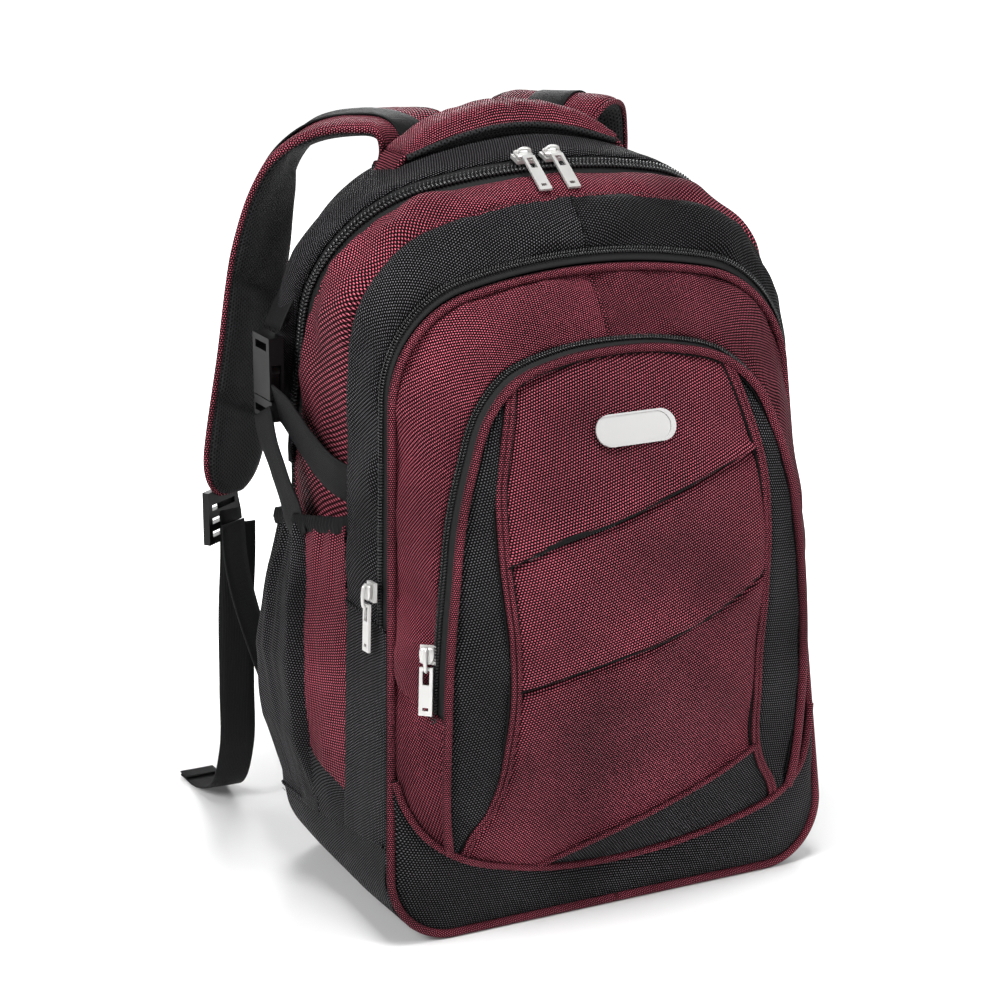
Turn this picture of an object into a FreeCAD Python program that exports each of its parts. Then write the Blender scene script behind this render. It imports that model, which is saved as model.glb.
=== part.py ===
import FreeCAD, Part
import math
import os
import Sketcher
from FreeCAD import Placement, Rotation, Vector

# A travel backpack, standing on its base. Millimetres, +Z up, the front faces -Y, the back
# panel faces +Y, and the wearer's left is -X. The origin is the centre of the base.

# One arch-shaped section of the bag for each place where two layers are sewn together. "away" is
# the section's distance along Y, "tilt" how far its top leans towards the back, "foot" its lowest
# line, "base" and "shoulder" its half widths below and above, and "top" its highest point.
LEVELS = {
    "back": {"away": 95, "tilt": 0, "foot": 0, "base": 146, "corner": 36, "shoulder": 143,
             "turn": 98, "crown": 330, "top": 468},
    "crest": {"away": 24, "tilt": 0, "foot": 0, "base": 153, "corner": 38, "shoulder": 149,
              "turn": 90, "crown": 350, "top": 463},
    "seam": {"away": -14, "tilt": 0, "foot": 0, "base": 156, "corner": 40, "shoulder": 148,
             "turn": 78, "crown": 350, "top": 446},
    "middle": {"away": -82, "tilt": 5.5, "foot": 0, "base": 158, "corner": 44, "shoulder": 141,
               "turn": 72, "crown": 390, "top": 412},
    "pocket": {"away": -102, "tilt": 4, "foot": 36, "base": 128, "corner": 46, "shoulder": 112,
               "turn": 60, "crown": 330, "top": 364},
    "face": {"away": -118, "tilt": 4, "foot": 50, "base": 119, "corner": 42, "shoulder": 104,
             "turn": 54, "crown": 310, "top": 338},
    "belly": {"away": -134, "tilt": 3, "foot": 90, "base": 90, "corner": 30, "shoulder": 78,
              "turn": 40, "crown": 260, "top": 280},
}

DIMENSIONS = {
    "wall": 2.5,                # fabric with its foam lining
    "cloth": 1.6,               # fabric alone
    "gap": 0.3,                 # between pieces that only touch
    "piping": 2.2,              # radius of the corded edge
    "sole": 0.4,                # what is cut off the boot so that it stands flat
    "boot_top": 56,             # height of the black base round the sides and the back
    "panel": 7,                 # thickness of the back panel
    "board": 3,                 # thickness of a stiffening board
    "pad": 8,                   # thickness of the mesh pads on the back panel
    "zip_half": 4.7,            # half width of a closed zip and its tapes
    "zip_proud": 1.2,           # how far a zip stands out of the cloth
    "main_zip_y": 19,           # where the main zip crosses the middle of the top
    "main_zip_z": 461,
    "main_zip_low_y": 74,       # where it ends, low at the back of each side
    "main_zip_low_z": 325,
    "base_board_low": 4,
    "middle_zip_end": 196,      # height at which the middle zip ends
    "pocket_zip_end": 172,      # height at which the front pocket's zip ends
    "band_sag": 84,             # how far the front band's edge dips in the middle
    "band_low": 30,             # height of that edge in the middle
    "front_seam_waist": 86,           # half width of the centre panel at its narrowest
    "front_seam_foot": 112,
    "front_seam_head": 96,
    "webbing": 25,
    "ribbon": 1.5,              # thickness of the webbing
    "bottle_low": 60,
    "bottle_front": 246,
    "bottle_back": 222,
    "bottle_band": 12,
    "strap_width": 66,
    "strap_thick": 11,
    "handle_width": 33,
    "handle_thick": 13,
    "handle_half": 88,
    "handle_top": 496,
    "handle_foot": 466,
    "handle_y": 75,
    "puller_length": 30,
    "puller_width": 8.5,
    "puller_thick": 1.6,
    "plate_length": 55,
    "plate_height": 20,
    "plate_thick": 1.6,
}

FAR = 400                       # beyond every part, for cuts that go right through

doc = FreeCAD.newDocument("travel_backpack")
sheet = doc.addObject("Spreadsheet::Sheet", "dims")
sub_parts = []


def fill_sheet():
    rows = dict(DIMENSIONS)
    for level, sizes in LEVELS.items():
        for key, value in sizes.items():
            if f"{level}_{key}" in rows:
                raise RuntimeError(f"{level}_{key} is on the sheet twice")
            rows[f"{level}_{key}"] = value
    for row, (alias, value) in enumerate(rows.items(), start=1):
        sheet.set(f"A{row}", alias)
        sheet.set(f"B{row}", str(value))
        sheet.setAlias(f"B{row}", alias)
    doc.recompute()


def amount(expression):
    """The number that an expression on the sheet gives."""
    return float(sheet.evalExpression(str(expression)))


# ---------------------------------------------------------------- sketches and features

def new_body(label, placement=None):
    body = doc.addObject("PartDesign::Body", label)
    body.Label = label
    if placement:
        body.Placement = placement
    sub_parts.append(body)
    return body


def new_sketch(body, plane, offset="0"):
    """A sketch on one of the body's own origin planes, moved along that plane's normal."""
    sketch = body.newObject("Sketcher::SketchObject", "sketch")
    support = next(item for item in body.Origin.OriginFeatures if item.Role == plane)
    sketch.AttachmentSupport = [(support, "")]
    sketch.MapMode = "FlatFace"
    sketch.AttachmentOffset = Placement(Vector(0, 0, amount(offset)), Rotation())
    sketch.setExpression("AttachmentOffset.Base.z", offset)
    return sketch


def bind(sketch, kind, *where, to):
    """A dimension of a sketch that follows an expression on the sheet."""
    value = amount(to)
    if kind in ("DistanceX", "DistanceY") and abs(value) < 1e-9:
        axis = -2 if kind == "DistanceX" else -1
        sketch.addConstraint(Sketcher.Constraint("PointOnObject", where[-2], where[-1], axis))
        return
    index = sketch.addConstraint(Sketcher.Constraint(kind, *where, value))
    sketch.setExpression(f"Constraints[{index}]", to)


def polygon(sketch, corners):
    """A closed outline; each corner is a pair of expressions, measured from the origin."""
    points = [Vector(amount(x), amount(y), 0) for x, y in corners]
    count = len(points)
    for i in range(count):
        sketch.addGeometry(Part.LineSegment(points[i], points[(i + 1) % count]), False)
    for i in range(count):
        sketch.addConstraint(Sketcher.Constraint("Coincident", i, 2, (i + 1) % count, 1))
    for i, (x, y) in enumerate(corners):
        bind(sketch, "DistanceX", -1, 1, i, 1, to=str(x))
        bind(sketch, "DistanceY", -1, 1, i, 1, to=str(y))
    return sketch


def rectangle(sketch, left, right, low, high):
    return polygon(sketch, [(left, low), (right, low), (right, high), (left, high)])


def slot_outline(sketch, length, height):
    """A pill: two half circles joined by straight lines, centred on the sketch's origin."""
    radius = amount(height) / 2
    reach = amount(length) / 2 - radius
    axis = Vector(0, 0, 1)
    right = Part.Circle(Vector(reach, 0, 0), axis, radius)
    left = Part.Circle(Vector(-reach, 0, 0), axis, radius)
    sketch.addGeometry(Part.ArcOfCircle(right, -math.pi / 2, math.pi / 2), False)
    sketch.addGeometry(Part.LineSegment(Vector(reach, radius, 0), Vector(-reach, radius, 0)), False)
    sketch.addGeometry(Part.ArcOfCircle(left, math.pi / 2, 3 * math.pi / 2), False)
    sketch.addGeometry(Part.LineSegment(Vector(-reach, -radius, 0), Vector(reach, -radius, 0)), False)
    for i in range(4):
        sketch.addConstraint(Sketcher.Constraint("Tangent", i, 2, (i + 1) % 4, 1))
    sketch.addConstraint(Sketcher.Constraint("Horizontal", 1))
    bind(sketch, "Radius", 0, to=f"({height}) / 2")
    bind(sketch, "DistanceX", -1, 1, 0, 3, to=f"({length} - {height}) / 2")
    bind(sketch, "DistanceX", -1, 1, 2, 3, to=f"({height} - {length}) / 2")
    sketch.addConstraint(Sketcher.Constraint("PointOnObject", 0, 3, -1))
    return sketch


def pad(body, sketch, length, symmetric=False, backwards=False):
    feature = body.newObject("PartDesign::Pad", "pad")
    feature.Profile = sketch
    feature.SideType = "Symmetric" if symmetric else "One side"
    feature.Reversed = backwards
    feature.Length = amount(length)
    feature.setExpression("Length", str(length))
    body.Tip = feature
    return feature


def pocket(body, sketch, depth=None, backwards=False):
    """A cut as deep as stated, or right through both ways, that has to remove something."""
    doc.recompute()
    before = body.Shape.Volume
    feature = body.newObject("PartDesign::Pocket", "pocket")
    feature.Profile = sketch
    if depth is None:
        feature.SideType = "Symmetric"
        feature.Length = 2 * FAR
    else:
        feature.Reversed = backwards
        feature.Length = amount(depth)
        feature.setExpression("Length", str(depth))
    body.Tip = feature
    doc.recompute()
    if body.Shape.Volume > before - 0.01:
        raise RuntimeError(f"a pocket removes nothing from {body.Label}")
    return feature


def loft(body, kind, sketches):
    feature = body.newObject(f"PartDesign::{kind}Loft", "loft")
    feature.Profile = sketches[0]
    feature.Sections = sketches[1:]
    feature.Ruled = True
    body.Tip = feature
    return feature


# ---------------------------------------------------------------- the arch-shaped sections

def level_size(level, key):
    """A section's size; a level may also be (first, second, share of the way between them)."""
    if isinstance(level, str):
        return f"dims.{level}_{key}"
    first, second, share = level
    return f"(dims.{first}_{key} * {1 - share} + dims.{second}_{key} * {share})"


def arch_sketch(body, level, inset="0", forward="0"):
    """A section's outline, drawn smaller by inset and moved towards the front by forward."""
    size = {key: level_size(level, key) for key in LEVELS["back"]}
    sketch = new_sketch(body, "XZ_Plane", f"{forward} - {size['away']}")
    tilt = amount(size["tilt"])
    if tilt:
        place = sketch.AttachmentOffset.Base
        sketch.AttachmentOffset = Placement(place, Rotation(Vector(-1, 0, 0), tilt))
        sketch.setExpression("AttachmentOffset.Rotation.Angle", size["tilt"])
    expressions = {
        "corner": f"{size['corner']} - ({inset})",
        "turn": f"{size['turn']} - ({inset})",
        "crown": f"{size['crown']} - ({inset})",
        "corner_x": f"{size['base']} - {size['corner']}",
        "turn_x": f"{size['shoulder']} - {size['turn']}",
        "crown_y": f"{size['top']} - {size['crown']}",
        "foot": f"{size['foot']} + {inset}",
    }
    value = {name: amount(text) for name, text in expressions.items()}
    draw_arch(sketch, value)
    constrain_arch(sketch, expressions)
    return sketch


def draw_arch(sketch, value):
    corner, turn, crown = value["corner"], value["turn"], value["crown"]
    turn_y = value["crown_y"] + math.sqrt((crown - turn) ** 2 - value["turn_x"] ** 2)
    corner_at = Vector(value["corner_x"], value["foot"] + corner, 0)
    turn_at = Vector(value["turn_x"], turn_y, 0)
    rise = turn_at - corner_at
    lean = math.atan2(rise.y, rise.x) - math.acos((corner - turn) / rise.Length)
    meet = math.atan2(turn_y - value["crown_y"], value["turn_x"])
    out = Vector(math.cos(lean), math.sin(lean), 0)

    def mirror(point):
        return Vector(-point.x, point.y, 0)

    def arc(centre, radius, start, end):
        circle = Part.Circle(centre, Vector(0, 0, 1), radius)
        sketch.addGeometry(Part.ArcOfCircle(circle, start, end), False)

    def line(start, end):
        sketch.addGeometry(Part.LineSegment(start, end), False)

    foot = Vector(value["corner_x"], value["foot"], 0)
    low, high = corner_at + out * corner, turn_at + out * turn
    line(mirror(foot), foot)
    arc(corner_at, corner, -math.pi / 2, lean)
    line(low, high)
    arc(turn_at, turn, lean, meet)
    arc(Vector(0, value["crown_y"], 0), crown, meet, math.pi - meet)
    arc(mirror(turn_at), turn, math.pi - meet, math.pi - lean)
    line(mirror(high), mirror(low))
    arc(mirror(corner_at), corner, math.pi - lean, 3 * math.pi / 2)


def constrain_arch(sketch, expressions):
    for i in range(8):
        sketch.addConstraint(Sketcher.Constraint("Tangent", i, 2, (i + 1) % 8, 1))
    sketch.addConstraint(Sketcher.Constraint("Horizontal", 0))
    bind(sketch, "DistanceY", -1, 1, 0, 1, to=expressions["foot"])
    for edge, name in ((1, "corner"), (7, "corner"), (3, "turn"), (5, "turn"), (4, "crown")):
        bind(sketch, "Radius", edge, to=expressions[name])
    sketch.addConstraint(Sketcher.Constraint("PointOnObject", 4, 3, -2))
    bind(sketch, "DistanceY", -1, 1, 4, 3, to=expressions["crown_y"])
    for edge, name, side in ((1, "corner_x", ""), (7, "corner_x", "-"),
                             (3, "turn_x", ""), (5, "turn_x", "-")):
        bind(sketch, "DistanceX", -1, 1, edge, 3, to=f"{side}({expressions[name]})")


def ring(label, sections, wall="dims.wall", outset="0"):
    """A layer of the bag, open at both ends. Each section is a level and how far it is moved."""
    body = new_body(label)
    outer = [arch_sketch(body, level, f"-({outset})", shift) for level, shift in sections]
    loft(body, "Additive", outer)
    inset = f"({wall}) - ({outset})"
    inner = [arch_sketch(body, level, inset, shift) for level, shift in sections]
    loft(body, "Subtractive", inner)
    doc.recompute()
    return body


def cap(label, sections, wall="dims.wall"):
    """A layer of the bag that is closed at its last section by a wall."""
    body = new_body(label)
    loft(body, "Additive", [arch_sketch(body, level, "0", shift) for level, shift in sections])
    inner = [arch_sketch(body, level, wall, shift) for level, shift in sections[:-1]]
    last_level, last_shift = sections[-1]
    inner.append(arch_sketch(body, last_level, wall, f"{last_shift} - {wall}"))
    loft(body, "Subtractive", inner)
    doc.recompute()
    return body


def cut_below(body, height):
    pocket(body, rectangle(new_sketch(body, "YZ_Plane"), -FAR, FAR, -50, height))


def cut_above(body, height):
    pocket(body, rectangle(new_sketch(body, "YZ_Plane"), -FAR, FAR, height, 2 * FAR))


def zip_line_y(height, shift):
    """Where the main zip's slanted plane, moved forwards by shift, lies at a height."""
    run = "(dims.main_zip_low_y - dims.main_zip_y) / (dims.main_zip_z - dims.main_zip_low_z)"
    return f"dims.main_zip_y + (dims.main_zip_z - ({height})) * {run} - ({shift})"


def cut_at_main_zip(body, shift, side):
    """Cuts away all that lies in front (side -1) or behind (side 1) the main zip's plane."""
    high, low = 600, -50
    far = side * FAR
    corners = [(zip_line_y(high, shift), high), (zip_line_y(low, shift), low), (far, low), (far, high)]
    pocket(body, polygon(new_sketch(body, "YZ_Plane"), corners))


def piping(label, level, forward):
    """The corded edge that runs all round a section."""
    body = new_body(label)
    spine = arch_sketch(body, level, "dims.piping", forward)
    profile = new_sketch(body, "YZ_Plane")
    up = f"({level_size(level, 'foot')} + dims.piping)"
    tilt = f"{level_size(level, 'tilt')} * 1 deg"
    foot = f"{up} * cos({tilt})"
    middle = f"{level_size(level, 'away')} - ({forward}) + {up} * sin({tilt})"
    circle = Part.Circle(Vector(amount(middle), amount(foot), 0), Vector(0, 0, 1), amount("dims.piping"))
    profile.addGeometry(circle, False)
    bind(profile, "Radius", 0, to="dims.piping")
    bind(profile, "DistanceX", -1, 1, 0, 3, to=middle)
    bind(profile, "DistanceY", -1, 1, 0, 3, to=foot)
    pipe = body.newObject("PartDesign::AdditivePipe", "pipe")
    pipe.Profile = profile
    pipe.Spine = (spine, [f"Edge{i}" for i in range(1, 9)])
    body.Tip = pipe
    doc.recompute()
    return body


# ---------------------------------------------------------------- the bag's layers

BACK_INNER = "dims.panel + dims.gap"        # the shell starts this far in front of the back
SEAM_GAP = "dims.piping + 0.1"              # each layer stops this short of a corded edge


def back_panel():
    body = new_body("back_panel")
    pad(body, arch_sketch(body, "back"), "dims.panel")
    board = new_body("back_board")
    pad(board, arch_sketch(board, "back", "12", f"{BACK_INNER} + dims.gap"), "dims.board")


def back_pads():
    """Two long mesh pads and a lumbar pad, in one node because they are one set."""
    pads = []
    for left, right, low, high in ((-112, -22, 160, 405), (22, 112, 160, 405), (-112, 112, 45, 148)):
        pads.append(rounded_pad(left, right, low, high))
    group = doc.addObject("Part::Feature", "back_pads")
    group.Label = "back_pads"
    group.Shape = Part.makeCompound(pads)
    sub_parts.append(group)


def rounded_pad(left, right, low, high):
    start = amount("dims.back_away + dims.gap")
    block = Part.makeBox(right - left, amount("dims.pad"), high - low, Vector(left, start, low))
    upright = [edge for edge in block.Edges if edge.Length == amount("dims.pad")]
    rounded = block.makeFillet(18, upright)
    outer = [edge for edge in rounded.Edges if edge.BoundBox.YMin > start + 1]
    return rounded.makeFillet(4, outer)


def main_layers():
    shell = [("back", BACK_INNER), ("crest", "0"), ("seam", "0")]
    rear = ring("rear_gusset", shell)
    cut_at_main_zip(rear, "-dims.zip_half - 2 * dims.gap", -1)

    zipper = ring("main_zip", shell, wall="2.4", outset="dims.zip_proud")
    cut_at_main_zip(zipper, "dims.zip_half", -1)
    cut_at_main_zip(zipper, "-dims.zip_half", 1)

    side = ring("main_shell", shell)
    cut_at_main_zip(side, "dims.zip_half + 2 * dims.gap", 1)
    cut_below(side, "dims.boot_top + dims.gap")

    front = [("seam", "dims.gap"), ("middle", f"-({SEAM_GAP})")]
    gusset = ring("front_gusset", front)
    cut_below(gusset, "dims.boot_top + dims.gap")

    # The boot is drawn a little low and then cut level, so that it rests on one flat face.
    boot = ring("base_boot", shell + [("middle", f"-({SEAM_GAP})")], wall="3.2", outset="dims.sole")
    cut_above(boot, "dims.boot_top")
    cut_below(boot, "0")


def zips():
    middle = [(("seam", "middle", 0.66), "0"), (("seam", "middle", 0.82), "0")]
    body = ring("middle_zip", middle, wall="dims.zip_proud - 0.2", outset="dims.zip_proud")
    cut_below(body, "dims.middle_zip_end")
    pocket_zip = [(("middle", "pocket", 0.62), "0"), (("middle", "pocket", 0.86), "0")]
    body = ring("pocket_zip", pocket_zip, wall="dims.zip_proud + 0.2", outset="dims.zip_proud + 0.6")
    cut_below(body, "dims.pocket_zip_end")


def band_edge(sketch, lift, above):
    """All that lies above, or below, the dipping edge of the front band."""
    half, sag = 160, amount("dims.band_sag")
    radius = (half ** 2 + sag ** 2) / (2 * sag)
    centre = Vector(0, amount("dims.band_low") + amount(lift) + radius, 0)
    spread = math.asin(half / radius)
    circle = Part.Circle(centre, Vector(0, 0, 1), radius)
    sketch.addGeometry(Part.ArcOfCircle(circle, 1.5 * math.pi - spread, 1.5 * math.pi + spread), False)
    end = centre + Vector(half, -radius * math.cos(spread), 0)
    far = 500 if above else -60
    corners = [end, Vector(FAR, end.y, 0), Vector(FAR, far, 0), Vector(-FAR, far, 0),
               Vector(-FAR, end.y, 0), Vector(-end.x, end.y, 0)]
    for first, second in zip(corners, corners[1:]):
        sketch.addGeometry(Part.LineSegment(first, second), False)
    sketch.addConstraint(Sketcher.Constraint("Coincident", 0, 2, 1, 1))
    for i in range(1, 5):
        sketch.addConstraint(Sketcher.Constraint("Coincident", i, 2, i + 1, 1))
    sketch.addConstraint(Sketcher.Constraint("Coincident", 5, 2, 0, 1))
    return sketch


def front_layers():
    piping("middle_piping", "middle", "0")
    layer = [("middle", SEAM_GAP), ("pocket", f"-({SEAM_GAP})")]
    face = cap("middle_face", layer)
    pocket(face, band_edge(new_sketch(face, "XZ_Plane"), "0.3", above=False))
    band = cap("bottom_band", layer)
    pocket(band, band_edge(new_sketch(band, "XZ_Plane"), "0", above=True))
    piping("pocket_piping", "pocket", "0")
    dome = [("pocket", SEAM_GAP), ("face", "0"), ("belly", "0")]
    centre = cap("pocket_centre", dome, wall="dims.cloth")
    for side in (-1, 1):
        pocket(centre, seam_region(new_sketch(centre, "XZ_Plane"), side, outside=True))
    for name, side in (("pocket_side_left", -1), ("pocket_side_right", 1)):
        panel = cap(name, dome, wall="dims.cloth")
        pocket(panel, seam_region(new_sketch(panel, "XZ_Plane"), side, outside=False))


def seam_region(sketch, side, outside):
    """The region on one side of a waisted seam: an arc through its head, waist and foot."""
    gap = -0.15 if outside else 0.15
    head = Vector(side * (amount("dims.front_seam_head") + gap), 360, 0)
    waist = Vector(side * (amount("dims.front_seam_waist") + gap), 200, 0)
    foot = Vector(side * (amount("dims.front_seam_foot") + gap), 20, 0)
    sketch.addGeometry(Part.Arc(head, waist, foot), False)
    far = side * FAR if outside else -side * FAR
    corners = [head, Vector(head.x, 2 * FAR, 0), Vector(far, 2 * FAR, 0), Vector(far, -FAR, 0),
               Vector(foot.x, -FAR, 0), foot]
    for first, second in zip(corners, corners[1:]):
        sketch.addGeometry(Part.LineSegment(first, second), False)
    return sketch


def inner_parts():
    body = new_body("divider")
    pad(body, arch_sketch(body, "seam", "9", "-6"), "dims.cloth")
    body = new_body("base_board")
    sketch = rectangle(new_sketch(body, "XY_Plane", "dims.base_board_low"), -108, 108, -66, 84)
    pad(body, sketch, "dims.board")
    sleeve = new_body("laptop_sleeve")
    outline = rectangle(new_sketch(sleeve, "XY_Plane", "64"), -132, 132, 52, 82)
    pad(sleeve, outline, "250")
    hollow = rectangle(new_sketch(sleeve, "XY_Plane", "68"), -128, 128, 56, 78)
    pocket(sleeve, hollow, "260", backwards=True)


# ---------------------------------------------------------------- what is on the bag

def side_name(label, side):
    return f"{label}_{'left' if side < 0 else 'right'}"


def bottle_outline(sketch, side, inset):
    """The plan of a bottle pocket: flat against the bag, fullest near the back corner."""
    wall = 158.6
    front = Vector(side * (wall + inset), -14 + inset, 0)
    full = Vector(side * (169 - inset), 40, 0)
    rear = Vector(side * (174 - inset), 90, 0)
    corner = Vector(side * (170 - inset), 99 - inset, 0)
    inner = Vector(side * (wall + inset), 99 - inset, 0)
    sketch.addGeometry(Part.Arc(front, full, rear), False)
    for first, second in ((rear, corner), (corner, inner), (inner, front)):
        sketch.addGeometry(Part.LineSegment(first, second), False)
    return sketch


def slanted_cut(body, rise, above):
    """Cuts a bottle pocket along its sloping mouth, moved up by rise."""
    front = f"dims.bottle_front + {rise}"
    back = f"dims.bottle_back + {rise}"
    far = 500 if above else 0
    corners = [(-20, front), (105, back), (105, far), (-20, far)]
    pocket(body, polygon(new_sketch(body, "YZ_Plane"), corners))


def bottle_pockets():
    for side in (-1, 1):
        pouch = new_body(side_name("bottle_pocket", side))
        pad(pouch, bottle_outline(new_sketch(pouch, "XY_Plane", "dims.bottle_low"), side, 0), "210")
        hollow = new_sketch(pouch, "XY_Plane", "dims.bottle_low + dims.cloth")
        pocket(pouch, bottle_outline(hollow, side, 1.5), "300", backwards=True)
        slanted_cut(pouch, "0", above=True)
        band = new_body(side_name("pocket_binding", side))
        pad(band, bottle_outline(new_sketch(band, "XY_Plane", "180"), side, 0), "90")
        hollow = new_sketch(band, "XY_Plane", "170")
        pocket(band, bottle_outline(hollow, side, 1.5), "300", backwards=True)
        slanted_cut(band, "dims.gap", above=False)
        slanted_cut(band, "dims.bottle_band", above=True)


def facing(origin, run, face):
    """A placement whose local X is the run and whose local Z is as near to face as it can be."""
    run = Vector(run).normalize()
    across = face.cross(run).normalize()
    return Placement(origin, Rotation(run, across, run.cross(across), "XYZ"))


def strip(label, start, end, face, width="dims.webbing"):
    """A flat length of webbing between two points."""
    length = (end - start).Length
    body = new_body(label, facing((start + end) * 0.5, end - start, face))
    sketch = rectangle(new_sketch(body, "XY_Plane"), -length / 2, length / 2,
                       f"-{width} / 2", f"{width} / 2")
    pad(body, sketch, "dims.ribbon", symmetric=True)
    return body


def ribbon(label, route, placement):
    """Webbing bent along a route in the body's XZ plane, centred on it in Y."""
    body = new_body(label, placement)
    sketch = new_sketch(body, "XZ_Plane")
    half = amount("dims.ribbon") / 2
    curves = []
    for offset in (half, -half):
        curve = Part.BSplineCurve()
        curve.interpolate(offset_route(route, offset))
        curves.append(curve)
    upper, lower = curves
    sketch.addGeometry(upper, False)
    sketch.addGeometry(Part.LineSegment(upper.EndPoint, lower.EndPoint), False)
    sketch.addGeometry(lower, False)
    sketch.addGeometry(Part.LineSegment(lower.StartPoint, upper.StartPoint), False)
    pad(body, sketch, "dims.webbing", symmetric=True)
    return body


def offset_route(route, offset):
    """The route's points, each moved sideways by offset."""
    points = [Vector(x, y, 0) for x, y in route]
    moved = []
    for i, point in enumerate(points):
        before = points[max(i - 1, 0)]
        after = points[min(i + 1, len(points) - 1)]
        run = (after - before).normalize()
        moved.append(point + Vector(-run.y, run.x, 0) * offset)
    return moved


def webbing_legs():
    """Below each ladder lock: the leg sewn to the bag's corner and the loose tail on the floor."""
    for side, lock in ((-1, LOCKS[-1]), (1, LOCKS[1])):
        start = Vector(lock.x - side * 6, lock.y - 9, 196)
        end = Vector(side * 146, 104, 80)
        strip(side_name("lower_webbing", side), start, end, Vector(side * 0.5, 0.85, 0))
        route = [(0, 201), (4, 150), (9, 95), (18, 46), (35, 14), (62, 3), (92, 1)]
        place = Placement(Vector(lock.x - side * 13, lock.y + 4, 0),
                          Rotation(Vector(0, 0, 1), 90 - side * 2))
        ribbon(side_name("webbing_tail", side), route, place)


# The middle of each shoulder strap from its sewn end to its ladder lock, and the direction of its
# width there, as an angle from +X in plan. The left one is splayed further out than the right.
STRAP_ROUTES = {
    -1: [(-46, 116, 468, 0), (-58, 124, 477, 38), (-76, 133, 479, 58), (-102, 141, 474, 60),
         (-122, 146, 456, 50), (-132, 148, 430, 40), (-139, 150, 397, 34), (-150, 150, 331, 34),
         (-160, 150, 275, 34), (-164, 150, 246, 34)],
    1: [(46, 118, 468, 0), (58, 126, 478, -30), (74, 135, 482, -42), (88, 145, 475, -38),
        (95, 151, 458, -35), (98, 155, 430, -30), (103, 157, 397, -25), (112, 156, 331, -25),
        (122, 154, 275, -25), (126, 152, 246, -25)],
}
LOCKS = {-1: Vector(-173, 148, 223), 1: Vector(134, 150, 223)}


def strap_frames(route, side):
    """At each point of a strap's route: the point, the strap's width and its outer face."""
    centres = [Vector(x, y, z) for x, y, z, turn in route]
    frames = []
    for i, (x, y, z, turn) in enumerate(route):
        run = Vector(0, 0, 1)
        if i:
            run = (centres[min(i + 1, len(centres) - 1)] - centres[i - 1]).normalize()
        across = Vector(math.cos(math.radians(turn)), math.sin(math.radians(turn)), 0)
        across = (across - run * across.dot(run)).normalize()
        face = run.cross(across)
        if face.dot(Vector(side * 0.3, 0.6, 0.8)) < 0:
            face = face * -1
        frames.append((centres[i], across, face))
    return frames


def strap_solid(frames, width, thick, lift):
    """A solid strip along a strap's frames, moved by lift towards its outer face."""
    wires = []
    for centre, across, face in frames:
        middle = centre + face * lift
        corners = [middle + across * (width * a / 2) + face * (thick * b / 2)
                   for a, b in ((-1, -1), (1, -1), (1, 1), (-1, 1), (-1, -1))]
        wires.append(Part.makePolygon(corners))
    return Part.makeLoft(wires, True, True)


def shape_node(label, shape):
    """A node for a shape that a loft through turning sections makes, which no sketch can."""
    node = doc.addObject("Part::Feature", label)
    node.Label = label
    node.Shape = shape
    sub_parts.append(node)


def shoulder_straps():
    thick = amount("dims.strap_thick")
    for side, route in STRAP_ROUTES.items():
        frames = strap_frames(route, side)
        shape_node(side_name("shoulder_strap", side),
                   strap_solid(frames, amount("dims.strap_width"), thick, 0))
        lift = thick / 2 + amount("dims.ribbon / 2 + 3 * dims.gap")
        shape_node(side_name("strap_band", side),
                   strap_solid(frames[2:], amount("dims.webbing"), amount("dims.ribbon"), lift))
        ladder_lock(side)
    yoke = new_body("strap_yoke")
    start = "-dims.back_away - dims.gap"
    pad(yoke, rectangle(new_sketch(yoke, "XZ_Plane", start), -78, 78, 418, 452), "6", backwards=True)


def ladder_lock(side):
    """The plastic adjuster: a plate with a slot for each turn of the webbing."""
    turn = -34 if side < 0 else 25
    body = new_body(side_name("ladder_lock", side),
                    Placement(LOCKS[side], Rotation(Vector(0, 0, 1), -turn)))
    pad(body, rectangle(new_sketch(body, "XZ_Plane"), -17, 17, -18, 18), "5", symmetric=True)
    for low in (-13, -4, 5):
        pocket(body, rectangle(new_sketch(body, "XZ_Plane"), -13, 13, low, low + 4))


def handle():
    half, top, foot = (amount(f"dims.handle_{key}") for key in ("half", "top", "foot"))
    thick = amount("dims.handle_thick")
    radius = (half ** 2 + (top - foot) ** 2) / (2 * (top - foot))
    inner = radius - thick
    centre = top - radius
    inner_half = math.sqrt(inner ** 2 - (foot - centre) ** 2)
    body = new_body("handle")
    sketch = new_sketch(body, "XZ_Plane", "-dims.handle_y")
    outer_ends = [Vector(half, foot, 0), Vector(-half, foot, 0)]
    inner_ends = [Vector(-inner_half, foot, 0), Vector(inner_half, foot, 0)]
    sketch.addGeometry(Part.Arc(outer_ends[0], Vector(0, top, 0), outer_ends[1]), False)
    sketch.addGeometry(Part.LineSegment(outer_ends[1], inner_ends[0]), False)
    sketch.addGeometry(Part.Arc(inner_ends[0], Vector(0, top - thick, 0), inner_ends[1]), False)
    sketch.addGeometry(Part.LineSegment(inner_ends[1], outer_ends[0]), False)
    pad(body, sketch, "dims.handle_width", symmetric=True)
    anchors = new_body("handle_anchors")
    for left, right in ((-87, -70), (70, 87)):
        sketch = rectangle(new_sketch(anchors, "XZ_Plane", "-dims.handle_y"), left, right,
                           "dims.handle_foot - 18", "dims.handle_foot - 3.4")
        pad(anchors, sketch, "dims.handle_width - 8", symmetric=True)


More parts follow.
